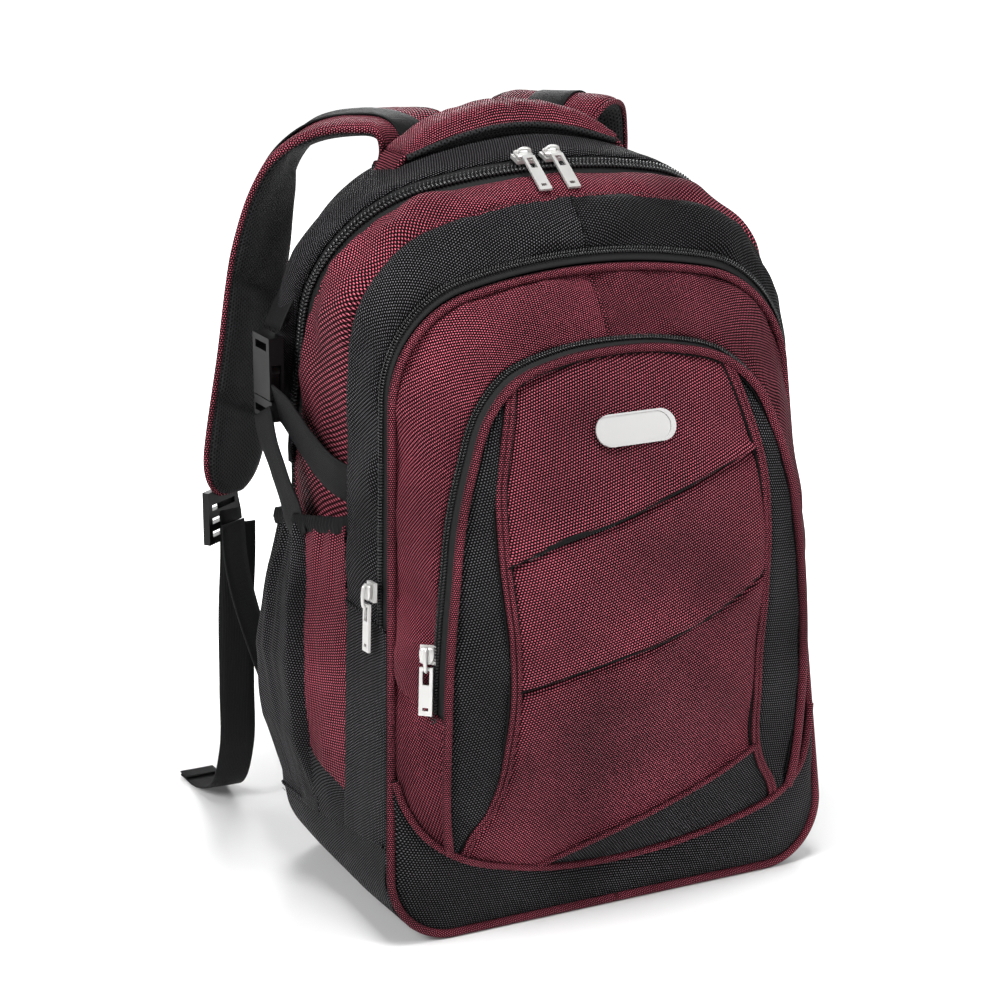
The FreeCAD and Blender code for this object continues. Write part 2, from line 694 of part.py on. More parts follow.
def logo_plate():
    """A blank pill-shaped plate with a raised rim, lying on the slope of the centre panel."""
    slope = math.degrees(math.atan2(57.4, 25.3))
    place = Placement(Vector(0, -101.9, 320.2), Rotation(Vector(1, 0, 0), slope))
    body = new_body("logo_plate", place)
    pad(body, slot_outline(new_sketch(body, "XY_Plane"), "dims.plate_length", "dims.plate_height"),
        "dims.plate_thick")
    face = new_sketch(body, "XY_Plane", "dims.plate_thick - 0.5")
    slot_outline(face, "dims.plate_length - 2.4", "dims.plate_height - 2.4")
    pocket(body, face, "1", backwards=True)


# ---------------------------------------------------------------- zip sliders and pullers

SLIDERS = {
    "main_slider_left": (Vector(-14, 20, 468.2), Vector(1, 0, 0), Vector(0, -0.3, 0.95)),
    "main_slider_right": (Vector(6, 20, 468.2), Vector(-1, 0, 0), Vector(0, -0.3, 0.95)),
    "middle_slider": (Vector(-154.6, -51, 224), Vector(-0.062, -0.071, -0.996), Vector(-1, 0, 0)),
    "pocket_slider": (Vector(-134, -88.4, 192), Vector(-0.067, -0.077, -0.995),
                      Vector(-0.68, -0.73, 0)),
}
PULLERS = {
    "main_puller_left": (Vector(-14, 13, 469.6), Vector(0, -0.82, -0.57), Vector(0, -0.57, 0.82)),
    "main_puller_right": (Vector(6, 13, 469.6), Vector(0, -0.82, -0.57), Vector(0, -0.57, 0.82)),
    "middle_puller": (Vector(-157, -51.5, 217), Vector(-0.062, -0.071, -0.996), Vector(-1, 0, 0)),
    "pocket_puller": (Vector(-136, -90.6, 185), Vector(-0.067, -0.077, -0.995),
                      Vector(-0.68, -0.73, 0)),
}


def zip_hardware():
    for label, (origin, run, face) in SLIDERS.items():
        body = new_body(label, facing(origin, run, face))
        pad(body, rectangle(new_sketch(body, "XY_Plane", "-2.4"), -6, 6, -5, 5), "2.4")
        pad(body, rectangle(new_sketch(body, "XZ_Plane"), -4, 4.5, -0.5, 2.4), "3", symmetric=True)
    for label, (origin, run, face) in PULLERS.items():
        body = new_body(label, facing(origin, run, face))
        half = "dims.puller_width / 2"
        outline = rectangle(new_sketch(body, "XY_Plane"), 0, "dims.puller_length", f"-{half}", half)
        pad(body, outline, "dims.puller_thick", symmetric=True)
        pocket(body, rectangle(new_sketch(body, "XY_Plane"), 2, 11, -2.2, 2.2))
        pocket(body, rectangle(new_sketch(body, "XY_Plane"), 25, 27, -1.8, 1.8))


# ---------------------------------------------------------------- the side straps

BUCKLE = Vector(164, 80, 318)   # the mouth of a buckle's socket; the left one is mirrored


def buckle_place(side):
    """Local X points out from the bag's side, and local Z up."""
    turn = 180 if side < 0 else 0
    return Placement(Vector(side * BUCKLE.x, BUCKLE.y, BUCKLE.z), Rotation(Vector(0, 0, 1), turn))


def side_straps():
    for side in (-1, 1):
        buckle_socket(side)
        buckle_plug(side)
        route = [(5.6, -9), (8, -20), (11.5, -36), (13.6, -58), (14, -82)]
        ribbon(side_name("side_tail", side), route, buckle_place(side))
        strip(side_name("side_strap", side), Vector(side * 158.8, -16, 286),
              Vector(side * 161.5, 61, 307), Vector(side, 0, 0))
    anchors = new_body("side_strap_anchors")
    for side in (-1, 1):
        outline = [(f"{side} * 163.2", 359.5), (f"{side} * 147", 388),
                   (f"{side} * 145.4", 387.2), (f"{side} * 161.6", 358.7)]
        sketch = polygon(new_sketch(anchors, "XZ_Plane", f"-{BUCKLE.y}"), outline)
        pad(anchors, sketch, "dims.webbing", symmetric=True)


def buckle_socket(side):
    body = new_body(side_name("buckle_socket", side), buckle_place(side))
    pad(body, rectangle(new_sketch(body, "XY_Plane"), -5, 5, -13.4, 13.4), "40")
    pocket(body, rectangle(new_sketch(body, "XY_Plane"), -3.3, 3.3, -11, 11), "26", backwards=True)
    pocket(body, rectangle(new_sketch(body, "YZ_Plane"), -9, 9, 31, 36))
    pocket(body, rectangle(new_sketch(body, "XZ_Plane"), -3.3, 3.3, 2.2, 22.4))


def buckle_plug(side):
    """The plug with its tongue, and two latch arms whose barbs spring out of the side windows."""
    place = buckle_place(side)
    body = new_body(side_name("buckle_plug", side), place)
    pad(body, rectangle(new_sketch(body, "XY_Plane", "-14"), -4.5, 4.5, -14.5, 14.5), "13")
    pad(body, rectangle(new_sketch(body, "XY_Plane", "-2"), -2.6, 2.6, -2.6, 2.6), "24")
    pocket(body, rectangle(new_sketch(body, "YZ_Plane"), -12.6, 12.6, -11, -6.5))
    for name, way in (("front", -1), ("rear", 1)):
        arm = new_body(f"{side_name('latch', side)}_{name}", place)
        local = way * side
        outline = [(local * 7.2, 0), (local * 10.6, 0), (local * 10.6, 17), (local * 12.7, 17),
                   (local * 10.6, 21.2), (local * 7.8, 21.2)]
        pad(arm, polygon(new_sketch(arm, "YZ_Plane"), outline), "5.2", symmetric=True)


# ---------------------------------------------------------------- the whole bag

def check_and_write():
    os.makedirs("parts", exist_ok=True)
    for item in doc.Objects:
        if "Invalid" in item.State or "Error" in item.State:
            raise RuntimeError(f"{item.Name} ({item.Label}) failed: {item.State}")
    labels = [part.Label for part in sub_parts]
    if len(set(labels)) != len(labels):
        raise RuntimeError("two sub-parts share a label")
    for part in sub_parts:
        if part.Shape.isNull() or not part.Shape.isValid() or part.Shape.Volume <= 0:
            raise RuntimeError(f"{part.Label} has no valid shape")
    for part in sub_parts:
        part.Shape.exportStep(f"parts/{part.Label}.step")
        print(f"{part.Label}: {part.Shape.Volume / 1000:.1f} cm3, {len(part.Shape.Solids)} solid(s)")


fill_sheet()
back_panel()
back_pads()
main_layers()
zips()
front_layers()
inner_parts()
bottle_pockets()
webbing_legs()
shoulder_straps()
handle()
logo_plate()
zip_hardware()
side_straps()
doc.recompute()
check_and_write()
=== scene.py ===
import math

import bmesh
import bpy
import numpy as np
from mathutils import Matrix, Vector, noise


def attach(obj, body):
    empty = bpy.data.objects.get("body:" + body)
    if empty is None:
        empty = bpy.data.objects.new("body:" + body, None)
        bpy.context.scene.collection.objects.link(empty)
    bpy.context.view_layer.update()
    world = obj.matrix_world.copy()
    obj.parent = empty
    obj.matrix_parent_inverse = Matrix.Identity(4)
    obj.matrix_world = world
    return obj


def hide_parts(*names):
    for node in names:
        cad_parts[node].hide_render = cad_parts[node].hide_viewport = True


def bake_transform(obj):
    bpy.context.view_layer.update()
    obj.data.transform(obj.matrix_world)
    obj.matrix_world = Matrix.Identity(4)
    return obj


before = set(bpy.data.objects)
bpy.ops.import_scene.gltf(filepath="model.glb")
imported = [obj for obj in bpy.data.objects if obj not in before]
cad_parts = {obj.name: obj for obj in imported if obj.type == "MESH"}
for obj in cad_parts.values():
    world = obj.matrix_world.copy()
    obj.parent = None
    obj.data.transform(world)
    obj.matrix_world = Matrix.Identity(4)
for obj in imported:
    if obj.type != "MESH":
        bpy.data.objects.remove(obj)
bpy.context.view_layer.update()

# Every length below is in millimetres, in the model's own frame: +Z up, the front faces -Y and
# the wearer's left is -X. Meshes are scaled to metres as they are made.
MM = 0.001


# ---------------------------------------------------------------- curves and grids

SIDES = (("left", -1), ("right", 1))


def unit(v):
    return v / np.maximum(np.linalg.norm(v, axis=-1, keepdims=True), 1e-9)


def hill(x, width):
    """A smooth bump of height 1 at zero."""
    return np.exp(-((x / width) ** 2))


def lengths(points):
    """Distance along a line of points, from its first."""
    steps = np.linalg.norm(np.diff(points, axis=0), axis=1)
    return np.concatenate([[0], np.cumsum(steps)])


def sample(at, s, values):
    """Each column of values, given at s, read at other places."""
    return np.stack([np.interp(at, s, column) for column in values.T], 1)


def even(points, count):
    """The same line with its points evenly spaced."""
    s = lengths(points)
    return sample(np.linspace(0, s[-1], count), s, points)


def hermite(t, p, at):
    """Values p, given at t, blended smoothly at other places."""
    slope = np.gradient(p, t, axis=0)
    k = np.clip(np.searchsorted(t, at, side="right") - 1, 0, len(t) - 2)
    h = (t[k + 1] - t[k])[:, None]
    f = (at - t[k])[:, None] / h
    return ((2 * f**3 - 3 * f**2 + 1) * p[k] + (f**3 - 2 * f**2 + f) * h * slope[k]
            + (3 * f**2 - 2 * f**3) * p[k + 1] + (f**3 - f**2) * h * slope[k + 1])


def smooth(points, count):
    """A smooth line through the points, evenly spaced."""
    p = np.array(points, float)
    t = lengths(p)
    return even(hermite(t, p, np.linspace(0, t[-1], 24 * len(p))), count)


def flipped(points):
    """The mirror image of a line of (x, y, z) or (x, z) points."""
    p = np.array(points, float)
    p[:, 0] *= -1
    return p


def mirrored(points):
    """A left half followed by its mirror image, for a line that ends on the middle plane."""
    p = np.array(points, float)
    return np.vstack([p, flipped(p)[::-1][1:]])


def ruled(first, last, rows):
    """A grid of straight steps from one line to another."""
    f = np.linspace(0, 1, rows)[:, None, None]
    return first * (1 - f) + last * f


def grid_normals(p):
    return unit(np.cross(np.gradient(p, axis=0), np.gradient(p, axis=1)))


BAG_MIDDLE = np.array([0, 10, 200.0])


def outward(p, centre=BAG_MIDDLE):
    """Unit normals of a grid, pointing away from the middle of the bag."""
    n = grid_normals(p)
    return -n if np.sum(n * (p - centre)) < 0 else n


def coons(left, right, low, high, rows, cols):
    """A surface between four lines: left and right run upwards, low and high run rightwards."""
    left, right = even(np.array(left, float), rows), even(np.array(right, float), rows)
    low, high = even(np.array(low, float), cols), even(np.array(high, float), cols)
    v = np.linspace(0, 1, rows)[:, None, None]
    u = np.linspace(0, 1, cols)[None, :, None]
    across = left[:, None] * (1 - u) + right[:, None] * u
    along = low[None] * (1 - v) + high[None] * v
    corners = ((1 - v) * ((1 - u) * low[0] + u * low[-1]) + v * ((1 - u) * high[0] + u * high[-1]))
    return across + along - corners


NOISE_SIZE = 1.6         # brings the noise to between about -1 and 1


def noise_at(points):
    return np.fromiter((noise.noise(Vector(q)) for q in points), float, len(points)) * NOISE_SIZE


def noise3(p, size, seed):
    """Smooth noise at each point of an array."""
    return noise_at(p.reshape(-1, 3) / size + seed * 17.3).reshape(p.shape[:-1])


def noise1(s, size, seed):
    """Smooth noise along a line or a grid of distances."""
    flat = np.asarray(s, float).ravel() / size
    return noise_at([(q, seed * 3.7, seed * 1.9) for q in flat]).reshape(np.shape(s))


# ---------------------------------------------------------------- meshes

def add_mesh(name, points, faces, uvs=None):
    mesh = bpy.data.meshes.new(name)
    mesh.from_pydata((np.asarray(points) * MM).tolist(), [], faces)
    if uvs is not None:
        layer = mesh.uv_layers.new(name="weave")
        loops = np.empty(len(mesh.loops), np.int64)
        mesh.loops.foreach_get("vertex_index", loops)
        layer.data.foreach_set("uv", np.asarray(uvs, np.float32)[loops].ravel())
    mesh.polygons.foreach_set("use_smooth", [True] * len(mesh.polygons))
    obj = bpy.data.objects.new(name, mesh)
    bpy.context.scene.collection.objects.link(obj)
    return obj


def grid_faces(rows, cols, closed=False, start=0):
    index = start + np.arange(rows * cols).reshape(rows, cols)
    if closed:
        index = np.hstack([index, index[:, :1]])
    quads = np.stack([index[:-1, :-1], index[:-1, 1:], index[1:, 1:], index[1:, :-1]], -1)
    return quads.reshape(-1, 4).tolist()


def capped_faces(rows, sides):
    """The faces of a tube of rings, closed at both ends."""
    ends = [list(range(sides))[::-1], list(range((rows - 1) * sides, rows * sides))]
    return grid_faces(rows, sides, closed=True) + ends


def finish_piece(obj, material, body="bag", replaces=()):
    obj.data.materials.append(material)
    if body:
        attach(obj, body)
    if replaces:
        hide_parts(*replaces)
    return obj


def sewn(obj):
    """Bakes a soft piece's placement into its mesh."""
    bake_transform(obj)
    return obj


def weave_uv(p, turn=0):
    """Cloth coordinates in mm: distance along and across the grid, turned by an angle."""
    rows, cols = p.shape[:2]
    u, v = np.meshgrid(lengths(p[rows // 2]), lengths(p[:, cols // 2]))
    return turned(np.stack([u, v], -1).reshape(-1, 2), turn)


def turned(uv, turn):
    c, s = math.cos(math.radians(turn)), math.sin(math.radians(turn))
    return uv @ np.array([[c, s], [-s, c]])


def polygon_vectors(obj, key):
    values = np.zeros(len(obj.data.polygons) * 3)
    obj.data.polygons.foreach_get(key, values)
    return values.reshape(-1, 3)


def cloth(name, p, material, replaces=(), body="bag", thick=1.3, turn=0, uv=None,
          centre=BAG_MIDDLE):
    """A piece of fabric from a grid of points, with its thickness inside the grid's surface."""
    if np.sum(grid_normals(p) * (p - centre)) < 0:
        p = p[::-1]
        uv = None if uv is None else uv.reshape(*p.shape[:2], 2)[::-1].reshape(-1, 2)
    uvs = weave_uv(p, turn) if uv is None else turned(uv, turn)
    obj = add_mesh(name, p.reshape(-1, 3), [f[::-1] for f in grid_faces(*p.shape[:2])], uvs)
    middles = polygon_vectors(obj, "center") - centre * MM
    if np.sum(polygon_vectors(obj, "normal") * middles) < 0:
        obj.data.flip_normals()
    solid = obj.modifiers.new("thickness", "SOLIDIFY")
    solid.thickness = thick * MM
    solid.offset = -1
    return finish_piece(obj, material, body, replaces)


def tube(name, path, radius, material, replaces=(), body="bag", closed=False, sides=10,
         up=(0, 1.0, 0)):
    """A round tube along a line. up sets where its first point lies round it."""
    ahead = np.roll(path, -1, 0) - np.roll(path, 1, 0) if closed else np.gradient(path, axis=0)
    side = unit(np.cross(unit(ahead), up))
    face = unit(np.cross(side, unit(ahead)))
    angle = np.linspace(0, 2 * math.pi, sides, endpoint=False)
    ring = (side[:, None] * np.cos(angle)[None, :, None]
            + face[:, None] * np.sin(angle)[None, :, None])
    rows = len(path)
    points = path[:, None] + ring * np.broadcast_to(radius, rows)[:, None, None]
    faces = capped_faces(rows, sides)
    if closed:
        last = (rows - 1) * sides
        joint = [[last + k, last + (k + 1) % sides, (k + 1) % sides, k] for k in range(sides)]
        faces = faces[:-2] + joint
    around = np.linspace(0, 2 * math.pi * np.max(radius), sides, endpoint=False)
    uvs = np.stack(np.meshgrid(around, lengths(path)), -1).reshape(-1, 2)
    obj = add_mesh(name, points.reshape(-1, 3), faces, uvs)
    fix_normals(obj)
    return finish_piece(obj, material, body, replaces)


def fix_normals(obj):
    work = bmesh.new()
    work.from_mesh(obj.data)
    bmesh.ops.recalc_face_normals(work, faces=work.faces)
    work.to_mesh(obj.data)
    work.free()


def copies(name, shape, faces, places, material, body="bag"):
    """One mesh of many copies of a small shape. A place is (point, x, y, z) directions."""
    shape = np.array(shape, float)
    points, all_faces = [], []
    for i, (at, x, y, z) in enumerate(places):
        points.append(at + shape[:, :1] * x + shape[:, 1:2] * y + shape[:, 2:] * z)
        all_faces += [[k + i * len(shape) for k in f] for f in faces]
    obj = add_mesh(name, np.vstack(points), all_faces)
    fix_normals(obj)
    return finish_piece(obj, material, body)


def pebble(length, width, height, sides=6):
    """A small rounded bar along x: rings that grow and then shrink, closed at its ends."""
    rings = ((-0.5, 0.45), (-0.3, 0.95), (0.3, 0.95), (0.5, 0.45))
    angle = 2 * math.pi * np.arange(sides) / sides
    points = [(x * length, math.cos(a) * width / 2 * size, math.sin(a) * height / 2 * size)
              for x, size in rings for a in angle]
    return points, capped_faces(len(rings), sides)


def stitches(name, path, up, length=2.9, gap=1.3, thick=0.55, lift=0.25):
    """A row of black thread lying on a surface along a line."""
    s = lengths(path)
    count = max(2, int(s[-1] / (length + gap)))
    at = (np.arange(count) + 0.5) * s[-1] / count
    centre = sample(at, s, path)
    run = unit(sample(at, s, np.gradient(path, s, axis=0)))
    face = np.array(up, float)
    shape, faces = pebble(length, thick, thick)
    places = [(c + face * lift, r, unit(np.cross(face, r)), face) for c, r in zip(centre, run)]
    return copies(name, shape, faces, places, thread_black)


# ---------------------------------------------------------------- materials

class Graph:
    """Short ways to add and link nodes."""

    def __init__(self, tree):
        self.tree = tree

    def node(self, kind, **settings):
        node = self.tree.nodes.new("ShaderNode" + kind)
        for key, value in settings.items():
            setattr(node, key, value)
        return node

    def link(self, value, socket):
        """Sets a socket to a number or a colour, or links another node's output to it."""
        if isinstance(value, tuple):
            value = (*value, 1.0)
        if isinstance(value, (int, float, tuple)):
            socket.default_value = value
        else:
            self.tree.links.new(value, socket)

    def math(self, operation, a, b=0.0, clamp=False):
        node = self.node("Math", operation=operation, use_clamp=clamp)
        self.link(a, node.inputs[0])
        self.link(b, node.inputs[1])
        return node.outputs[0]

    def add(self, a, b):
        return self.math("ADD", a, b)

    def sub(self, a, b, clamp=False):
        return self.math("SUBTRACT", a, b, clamp)

    def mul(self, a, b, clamp=False):
        return self.math("MULTIPLY", a, b, clamp)

    def square(self, a):
        return self.mul(a, a)

    def spread(self, value, low, high):
        """Maps 0..1 to low..high."""
        return self.add(self.mul(value, high - low), low)

    def place(self):
        return self.node("TexCoord").outputs["Object"]

    def noise(self, scale, detail):
        node = self.node("TexNoise")
        node.inputs["Scale"].default_value = scale
        node.inputs["Detail"].default_value = detail
        self.link(self.place(), node.inputs["Vector"])
        return node.outputs["Fac"]

    def uv(self):
        split = self.node("SeparateXYZ")
        self.link(self.node("UVMap", uv_map="weave").outputs[0], split.inputs[0])
        return split.outputs[0], split.outputs[1]

    def cells(self, u, v, pitch):
        """Offsets from each cell's middle, where every second row is half a cell further on."""
        shift = self.mul(self.math("PINGPONG", self.math("FLOOR", v), 1.0), 0.5)
        u = self.add(self.math("DIVIDE", u, pitch), shift)
        return [self.sub(self.math("FRACT", x), 0.5) for x in (u, v)]

    def mix(self, share, a, b, **settings):
        node = self.node("Mix", data_type="RGBA", **settings)
        for value, socket in zip((share, a, b), (0, 6, 7)):
            self.link(value, node.inputs[socket])
        return node.outputs[2]

    def scale(self, colour, amount):
        """A colour times a number."""
        grey = self.node("CombineColor")
        for socket in grey.inputs[:3]:
            self.link(amount, socket)
        return self.mix(1, colour, grey.outputs[0], blend_type="MULTIPLY")

    def surface(self, shader, base, rough, specular, height, depth, strength):
        """Sets a shader's colour, roughness, specular level and relief."""
        relief = self.node("Bump")
        relief.inputs["Distance"].default_value = depth
        relief.inputs["Strength"].default_value = strength
        self.link(height, relief.inputs["Height"])
        for value, name in ((base, "Base Color"), (rough, "Roughness"),
                            (specular, "Specular IOR Level"), (relief.outputs[0], "Normal")):
            self.link(value, shader.inputs[name])


def new_material(name):
    mat = bpy.data.materials.new(name)
    mat.use_nodes = True
    mat.node_tree.nodes.clear()
    g = Graph(mat.node_tree)
    shader = g.node("BsdfPrincipled")
    g.link(shader.outputs[0], g.node("OutputMaterial").inputs[0])
    return mat, g, shader


def woven(name, dark, light, pitch=(1.85, 1.6), tone=1.0, power=3.2):
    """A coarse basket weave: raised threads with painted highlight, painted shade in the gaps."""
    mat, g, shader = new_material(name)
    u, v = g.uv()
    wander = g.mul(g.sub(g.noise(70, 1), 0.5), 0.6)
    du, dv = g.cells(u, g.add(g.math("DIVIDE", v, pitch[1]), wander), pitch[0])
    away = g.add(g.mul(g.square(du), 4.6), g.mul(g.square(dv), 5.2))
    over = g.sub(1.0, away, clamp=True)
    corner = [g.square(g.sub(0.5, g.math("ABSOLUTE", d))) for d in (du, dv)]
    under = g.sub(0.22, g.mul(g.add(*corner), 5.0), clamp=True)
    height = g.math("MAXIMUM", over, under)
    # A tone below 1 darkens the whole cloth, for a painted-shade copy.
    dark, light = (tuple(tone * c for c in shade) for shade in (dark, light))
    # Thread tops take the light colour, narrowed by the power: painted highlight on the yarn; the
    # gaps take the dark colour as painted shade.
    base = g.mix(g.math("POWER", height, power), dark, light)
    # Colour times noise: fine fleck of the yarn, and broad patches of painted sheen and shade.
    amount = g.mul(g.spread(g.noise(2600, 2), 0.55, 1.45), g.spread(g.noise(8, 2), 0.35, 1.6))
    amount = g.mul(amount, g.spread(g.noise(21, 1), 0.55, 1.45))
    shader.inputs["Sheen Weight"].default_value = 0.012
    shader.inputs["Sheen Roughness"].default_value = 0.4
    g.surface(shader, g.scale(base, amount), g.spread(height, 0.9, 0.3), 0.1, height, 0.0007, 1.0)
    return mat


def ribbed(name, dark, light, pitch=1.15, cross=0.8):
    """Webbing: ribs that run along it, crossed by finer threads."""
    mat, g, shader = new_material(name)
    u, v = g.uv()
    rib = g.math("ABSOLUTE", g.math("SINE", g.mul(u, math.pi / pitch)))
    lean = g.add(v, g.mul(rib, 0.35))
    thread = g.math("ABSOLUTE", g.math("SINE", g.mul(lean, math.pi / cross)))
    height = g.add(g.mul(rib, 0.6), g.mul(thread, 0.4))
    fine = g.noise(2200, 2)
    base = g.mix(g.math("POWER", height, 1.6), dark, light)
    amount = g.mul(g.spread(fine, 0.75, 1.25), g.spread(g.noise(22, 2), 0.88, 1.12))
    g.surface(shader, g.scale(base, amount), g.spread(fine, 0.5, 0.7), 0.13, height, 0.0004, 0.8)
    return mat


def spacer_mesh(name, dark, light, pitch=2.6):
    """Knitted spacer mesh: rows of small round holes in a soft black face."""
    mat, g, shader = new_material(name)
    u, v = g.uv()
    du, dv = g.cells(u, g.math("DIVIDE", v, pitch * 0.8), pitch)
    away = g.add(g.square(du), g.square(dv))
    solid = g.mul(g.sub(away, 0.055), 9.0, clamp=True)
    fine = g.noise(1800, 2)
    base = g.scale(g.mix(solid, dark, light), g.spread(fine, 0.6, 1.4))
    shader.inputs["Sheen Weight"].default_value = 0.04
    g.surface(shader, base, 0.75, 0.15, g.add(solid, g.mul(fine, 0.3)), 0.0009, 0.9)
    return mat


def fine_cloth(name, base, rough=0.7, scale=1500):
    """Tape, thread and lining: a fine, even weave."""
    mat, g, shader = new_material(name)
    fine = g.noise(scale, 3)
    amount = g.mul(g.spread(fine, 0.65, 1.35), g.spread(g.noise(30, 2), 0.88, 1.12))
    g.surface(shader, g.scale(base, amount), g.spread(fine, rough - 0.1, rough + 0.1), 0.2, fine,
              0.0002, 0.35)
    return mat


def moulded(name, base, rough, metal=0.0, scale=900, bump=0.12, shine=0.5):
    """Plastic or metal with fine texture and slightly uneven gloss."""
    mat, g, shader = new_material(name)
    broad = g.noise(60, 3)
    shader.inputs["Metallic"].default_value = metal
    g.surface(shader, g.scale(base, g.spread(broad, 0.92, 1.08)),
              g.spread(broad, rough - 0.06, rough + 0.1), shine, g.noise(scale, 3), 0.00008, bump)
    return mat


# Each pair: the gap colour, near black to paint the shade between threads, and the thread-top
# colour, the yarn lightened and paled as painted highlight. The black's thread-top colour is almost
# all painted glint.
BURGUNDY = (0.006, 0.0004, 0.0010), (0.86, 0.176, 0.256)     # the weave's gaps, its threads
BLACK = (0.0008, 0.0008, 0.0009), (0.198, 0.190, 0.206)
STRAP_BLACK = (0.001, 0.001, 0.0011)

burgundy = woven("burgundy_weave", *BURGUNDY)
# Darker copies of the weaves for the right halves of the front gusset and middle face: painted
# shade for the weaker sheen where their grain turns the other way.
burgundy_painted_shade = woven("burgundy_weave_painted_shade", *BURGUNDY, tone=0.72)
black = woven("black_weave", *BLACK, power=4.8)
black_painted_shade = woven("black_weave_painted_shade", *BLACK, tone=0.62, power=4.8)
piping_cloth = woven("burgundy_piping_weave", *BURGUNDY, pitch=(1.4, 1.3))
webbing_cloth = ribbed("black_webbing", STRAP_BLACK, (0.015, 0.015, 0.016))
elastic_cloth = ribbed("black_elastic", STRAP_BLACK, (0.011, 0.011, 0.012), pitch=0.7, cross=1.6)
mesh_cloth = spacer_mesh("black_spacer_mesh", (0.0006, 0.0006, 0.0006), (0.026, 0.026, 0.028))
tape = fine_cloth("zip_tape", (0.010, 0.010, 0.0105))
thread_black = fine_cloth("black_thread", (0.02, 0.02, 0.021), scale=3000)
# Near-black cloth for the slit linings and the seam shade lines: partly a real black lining, mostly
# painted shade.
lining_and_shade_black = fine_cloth("black_lining_and_painted_shade", (0.0015, 0.0015, 0.0016), scale=1300)
lining = fine_cloth("grey_lining", (0.05, 0.05, 0.055), scale=1100)
board = fine_cloth("stiff_board", (0.03, 0.03, 0.032), rough=0.6, scale=600)
coil = moulded("zip_coil", (0.014, 0.014, 0.015), rough=0.26, scale=2000)
plastic = moulded("black_plastic", (0.004, 0.004, 0.0043), rough=0.34, shine=0.22)
nickel = moulded("brushed_nickel", (0.66, 0.655, 0.64), rough=0.33, metal=0.55, scale=700,
                 bump=0.03)
plate_metal = moulded("satin_plate", (0.43, 0.427, 0.423), rough=0.42, metal=0.3, bump=0.04)


# ---------------------------------------------------------------- the bag's cross-sections

BACK, CREST, SEAM, MIDDLE = (
    dict(away=95, tilt=0, base=146, corner=36, shoulder=143, turn=98, crown=330, top=468),
    dict(away=24, tilt=0, base=153, corner=38, shoulder=149, turn=90, crown=350, top=463),
    dict(away=-14, tilt=0, base=156, corner=40, shoulder=148, turn=78, crown=350, top=446),
    dict(away=-82, tilt=5.5, base=158, corner=44, shoulder=141, turn=72, crown=390, top=412),
)


def arch(size, grow=0.0):
    """The closed outline of a section, from the middle of its base round the left side."""
    corner, turn, crown = size["corner"] + grow, size["turn"] + grow, size["crown"] + grow
    corner_x, turn_x = size["base"] - size["corner"], size["shoulder"] - size["turn"]
    crown_z = size["top"] - size["crown"]
    turn_z = crown_z + math.sqrt((crown - turn) ** 2 - turn_x**2)
    corner_at, turn_at = np.array([corner_x, corner - grow]), np.array([turn_x, turn_z])
    rise = turn_at - corner_at
    lean = math.atan2(rise[1], rise[0]) - math.acos((corner - turn) / np.hypot(*rise))
    meet = math.atan2(turn_z - crown_z, turn_x)

    def bend(centre, radius, start, end):
        a = np.linspace(start, end, 60)
        return np.stack([centre[0] + radius * np.cos(a), centre[1] + radius * np.sin(a)], 1)

    half = np.vstack([[[0, -grow]], bend(corner_at, corner, -math.pi / 2, lean),
                      bend(turn_at, turn, lean, meet),
                      bend((0, crown_z), crown, meet, math.pi / 2)])
    flat = np.vstack([half * [-1, 1], half[::-1][1:]])
    tilt = math.radians(size["tilt"])
    y = size["away"] + flat[:, 1] * math.sin(tilt)
    return np.stack([flat[:, 0], y, flat[:, 1] * math.cos(tilt)], 1)


def between(y):
    """A section's sizes at a depth, blended smoothly through the four sections."""
    levels = np.array([list(level.values()) for level in (MIDDLE, SEAM, CREST, BACK)], float)
    size = dict(zip(BACK, hermite(levels[:, 0], levels, np.array([y]))[0]))
    size["away"] = y
    return size


def boot_line(y):
    """Height of the black boot's upper edge at a depth."""
    return 57 - 0.1 * y


DEPTHS = np.linspace(-82, 95, 60)
AROUND = 420


def split_at_boot(outline, level):
    """The part of a section above the boot's edge, left to right over the top, and below it."""
    count = len(outline) // 2
    left = outline[: count + 1]
    cut = np.interp(level, left[:, 2], np.arange(len(left)))
    k = int(cut)
    point = left[k] + (left[k + 1] - left[k]) * (cut - k)
    above = mirrored(np.vstack([[point], left[k + 1:]]))
    below = np.vstack([[point], left[: k + 1][::-1]])
    return above, mirrored(below)


def make_tables():
    """The shell above and below the boot's edge: a row of points for each depth."""
    halves = [split_at_boot(arch(between(y)), boot_line(y)) for y in DEPTHS]
    return [np.array([even(half[k], AROUND) for half in halves]) for k in (0, 1)]


ABOVE, BELOW = make_tables()


def on_table(table, u, y):
    """Points of the shell at shares u of the way round and at depths y."""
    u, y = np.broadcast_arrays(np.asarray(u, float), np.asarray(y, float))
    i = (y - DEPTHS[0]) / (DEPTHS[-1] - DEPTHS[0]) * (len(DEPTHS) - 1)
    i = np.clip(i, 0, len(DEPTHS) - 1.001)
    j = np.clip(u * (AROUND - 1), 0, AROUND - 1.001)
    a, b = i.astype(int), j.astype(int)
    f, g = (i - a)[..., None], (j - b)[..., None]
    return ((table[a, b] * (1 - g) + table[a, b + 1] * g) * (1 - f)
            + (table[a + 1, b] * (1 - g) + table[a + 1, b + 1] * g) * f)


def shell_grid(low_y, high_y, rows, cols, u_range=(0.0, 1.0), table=ABOVE):
    """A grid on the shell between two depths, which may differ along the way round."""
    u = np.linspace(*u_range, cols)
    low, high = (np.interp(u, np.linspace(*u_range, np.size(y)), np.atleast_1d(y).astype(float))
                 for y in (low_y, high_y))
    f = np.linspace(0, 1, rows)[:, None]
    return on_table(table, np.broadcast_to(u, (rows, cols)), low * (1 - f) + high * f)


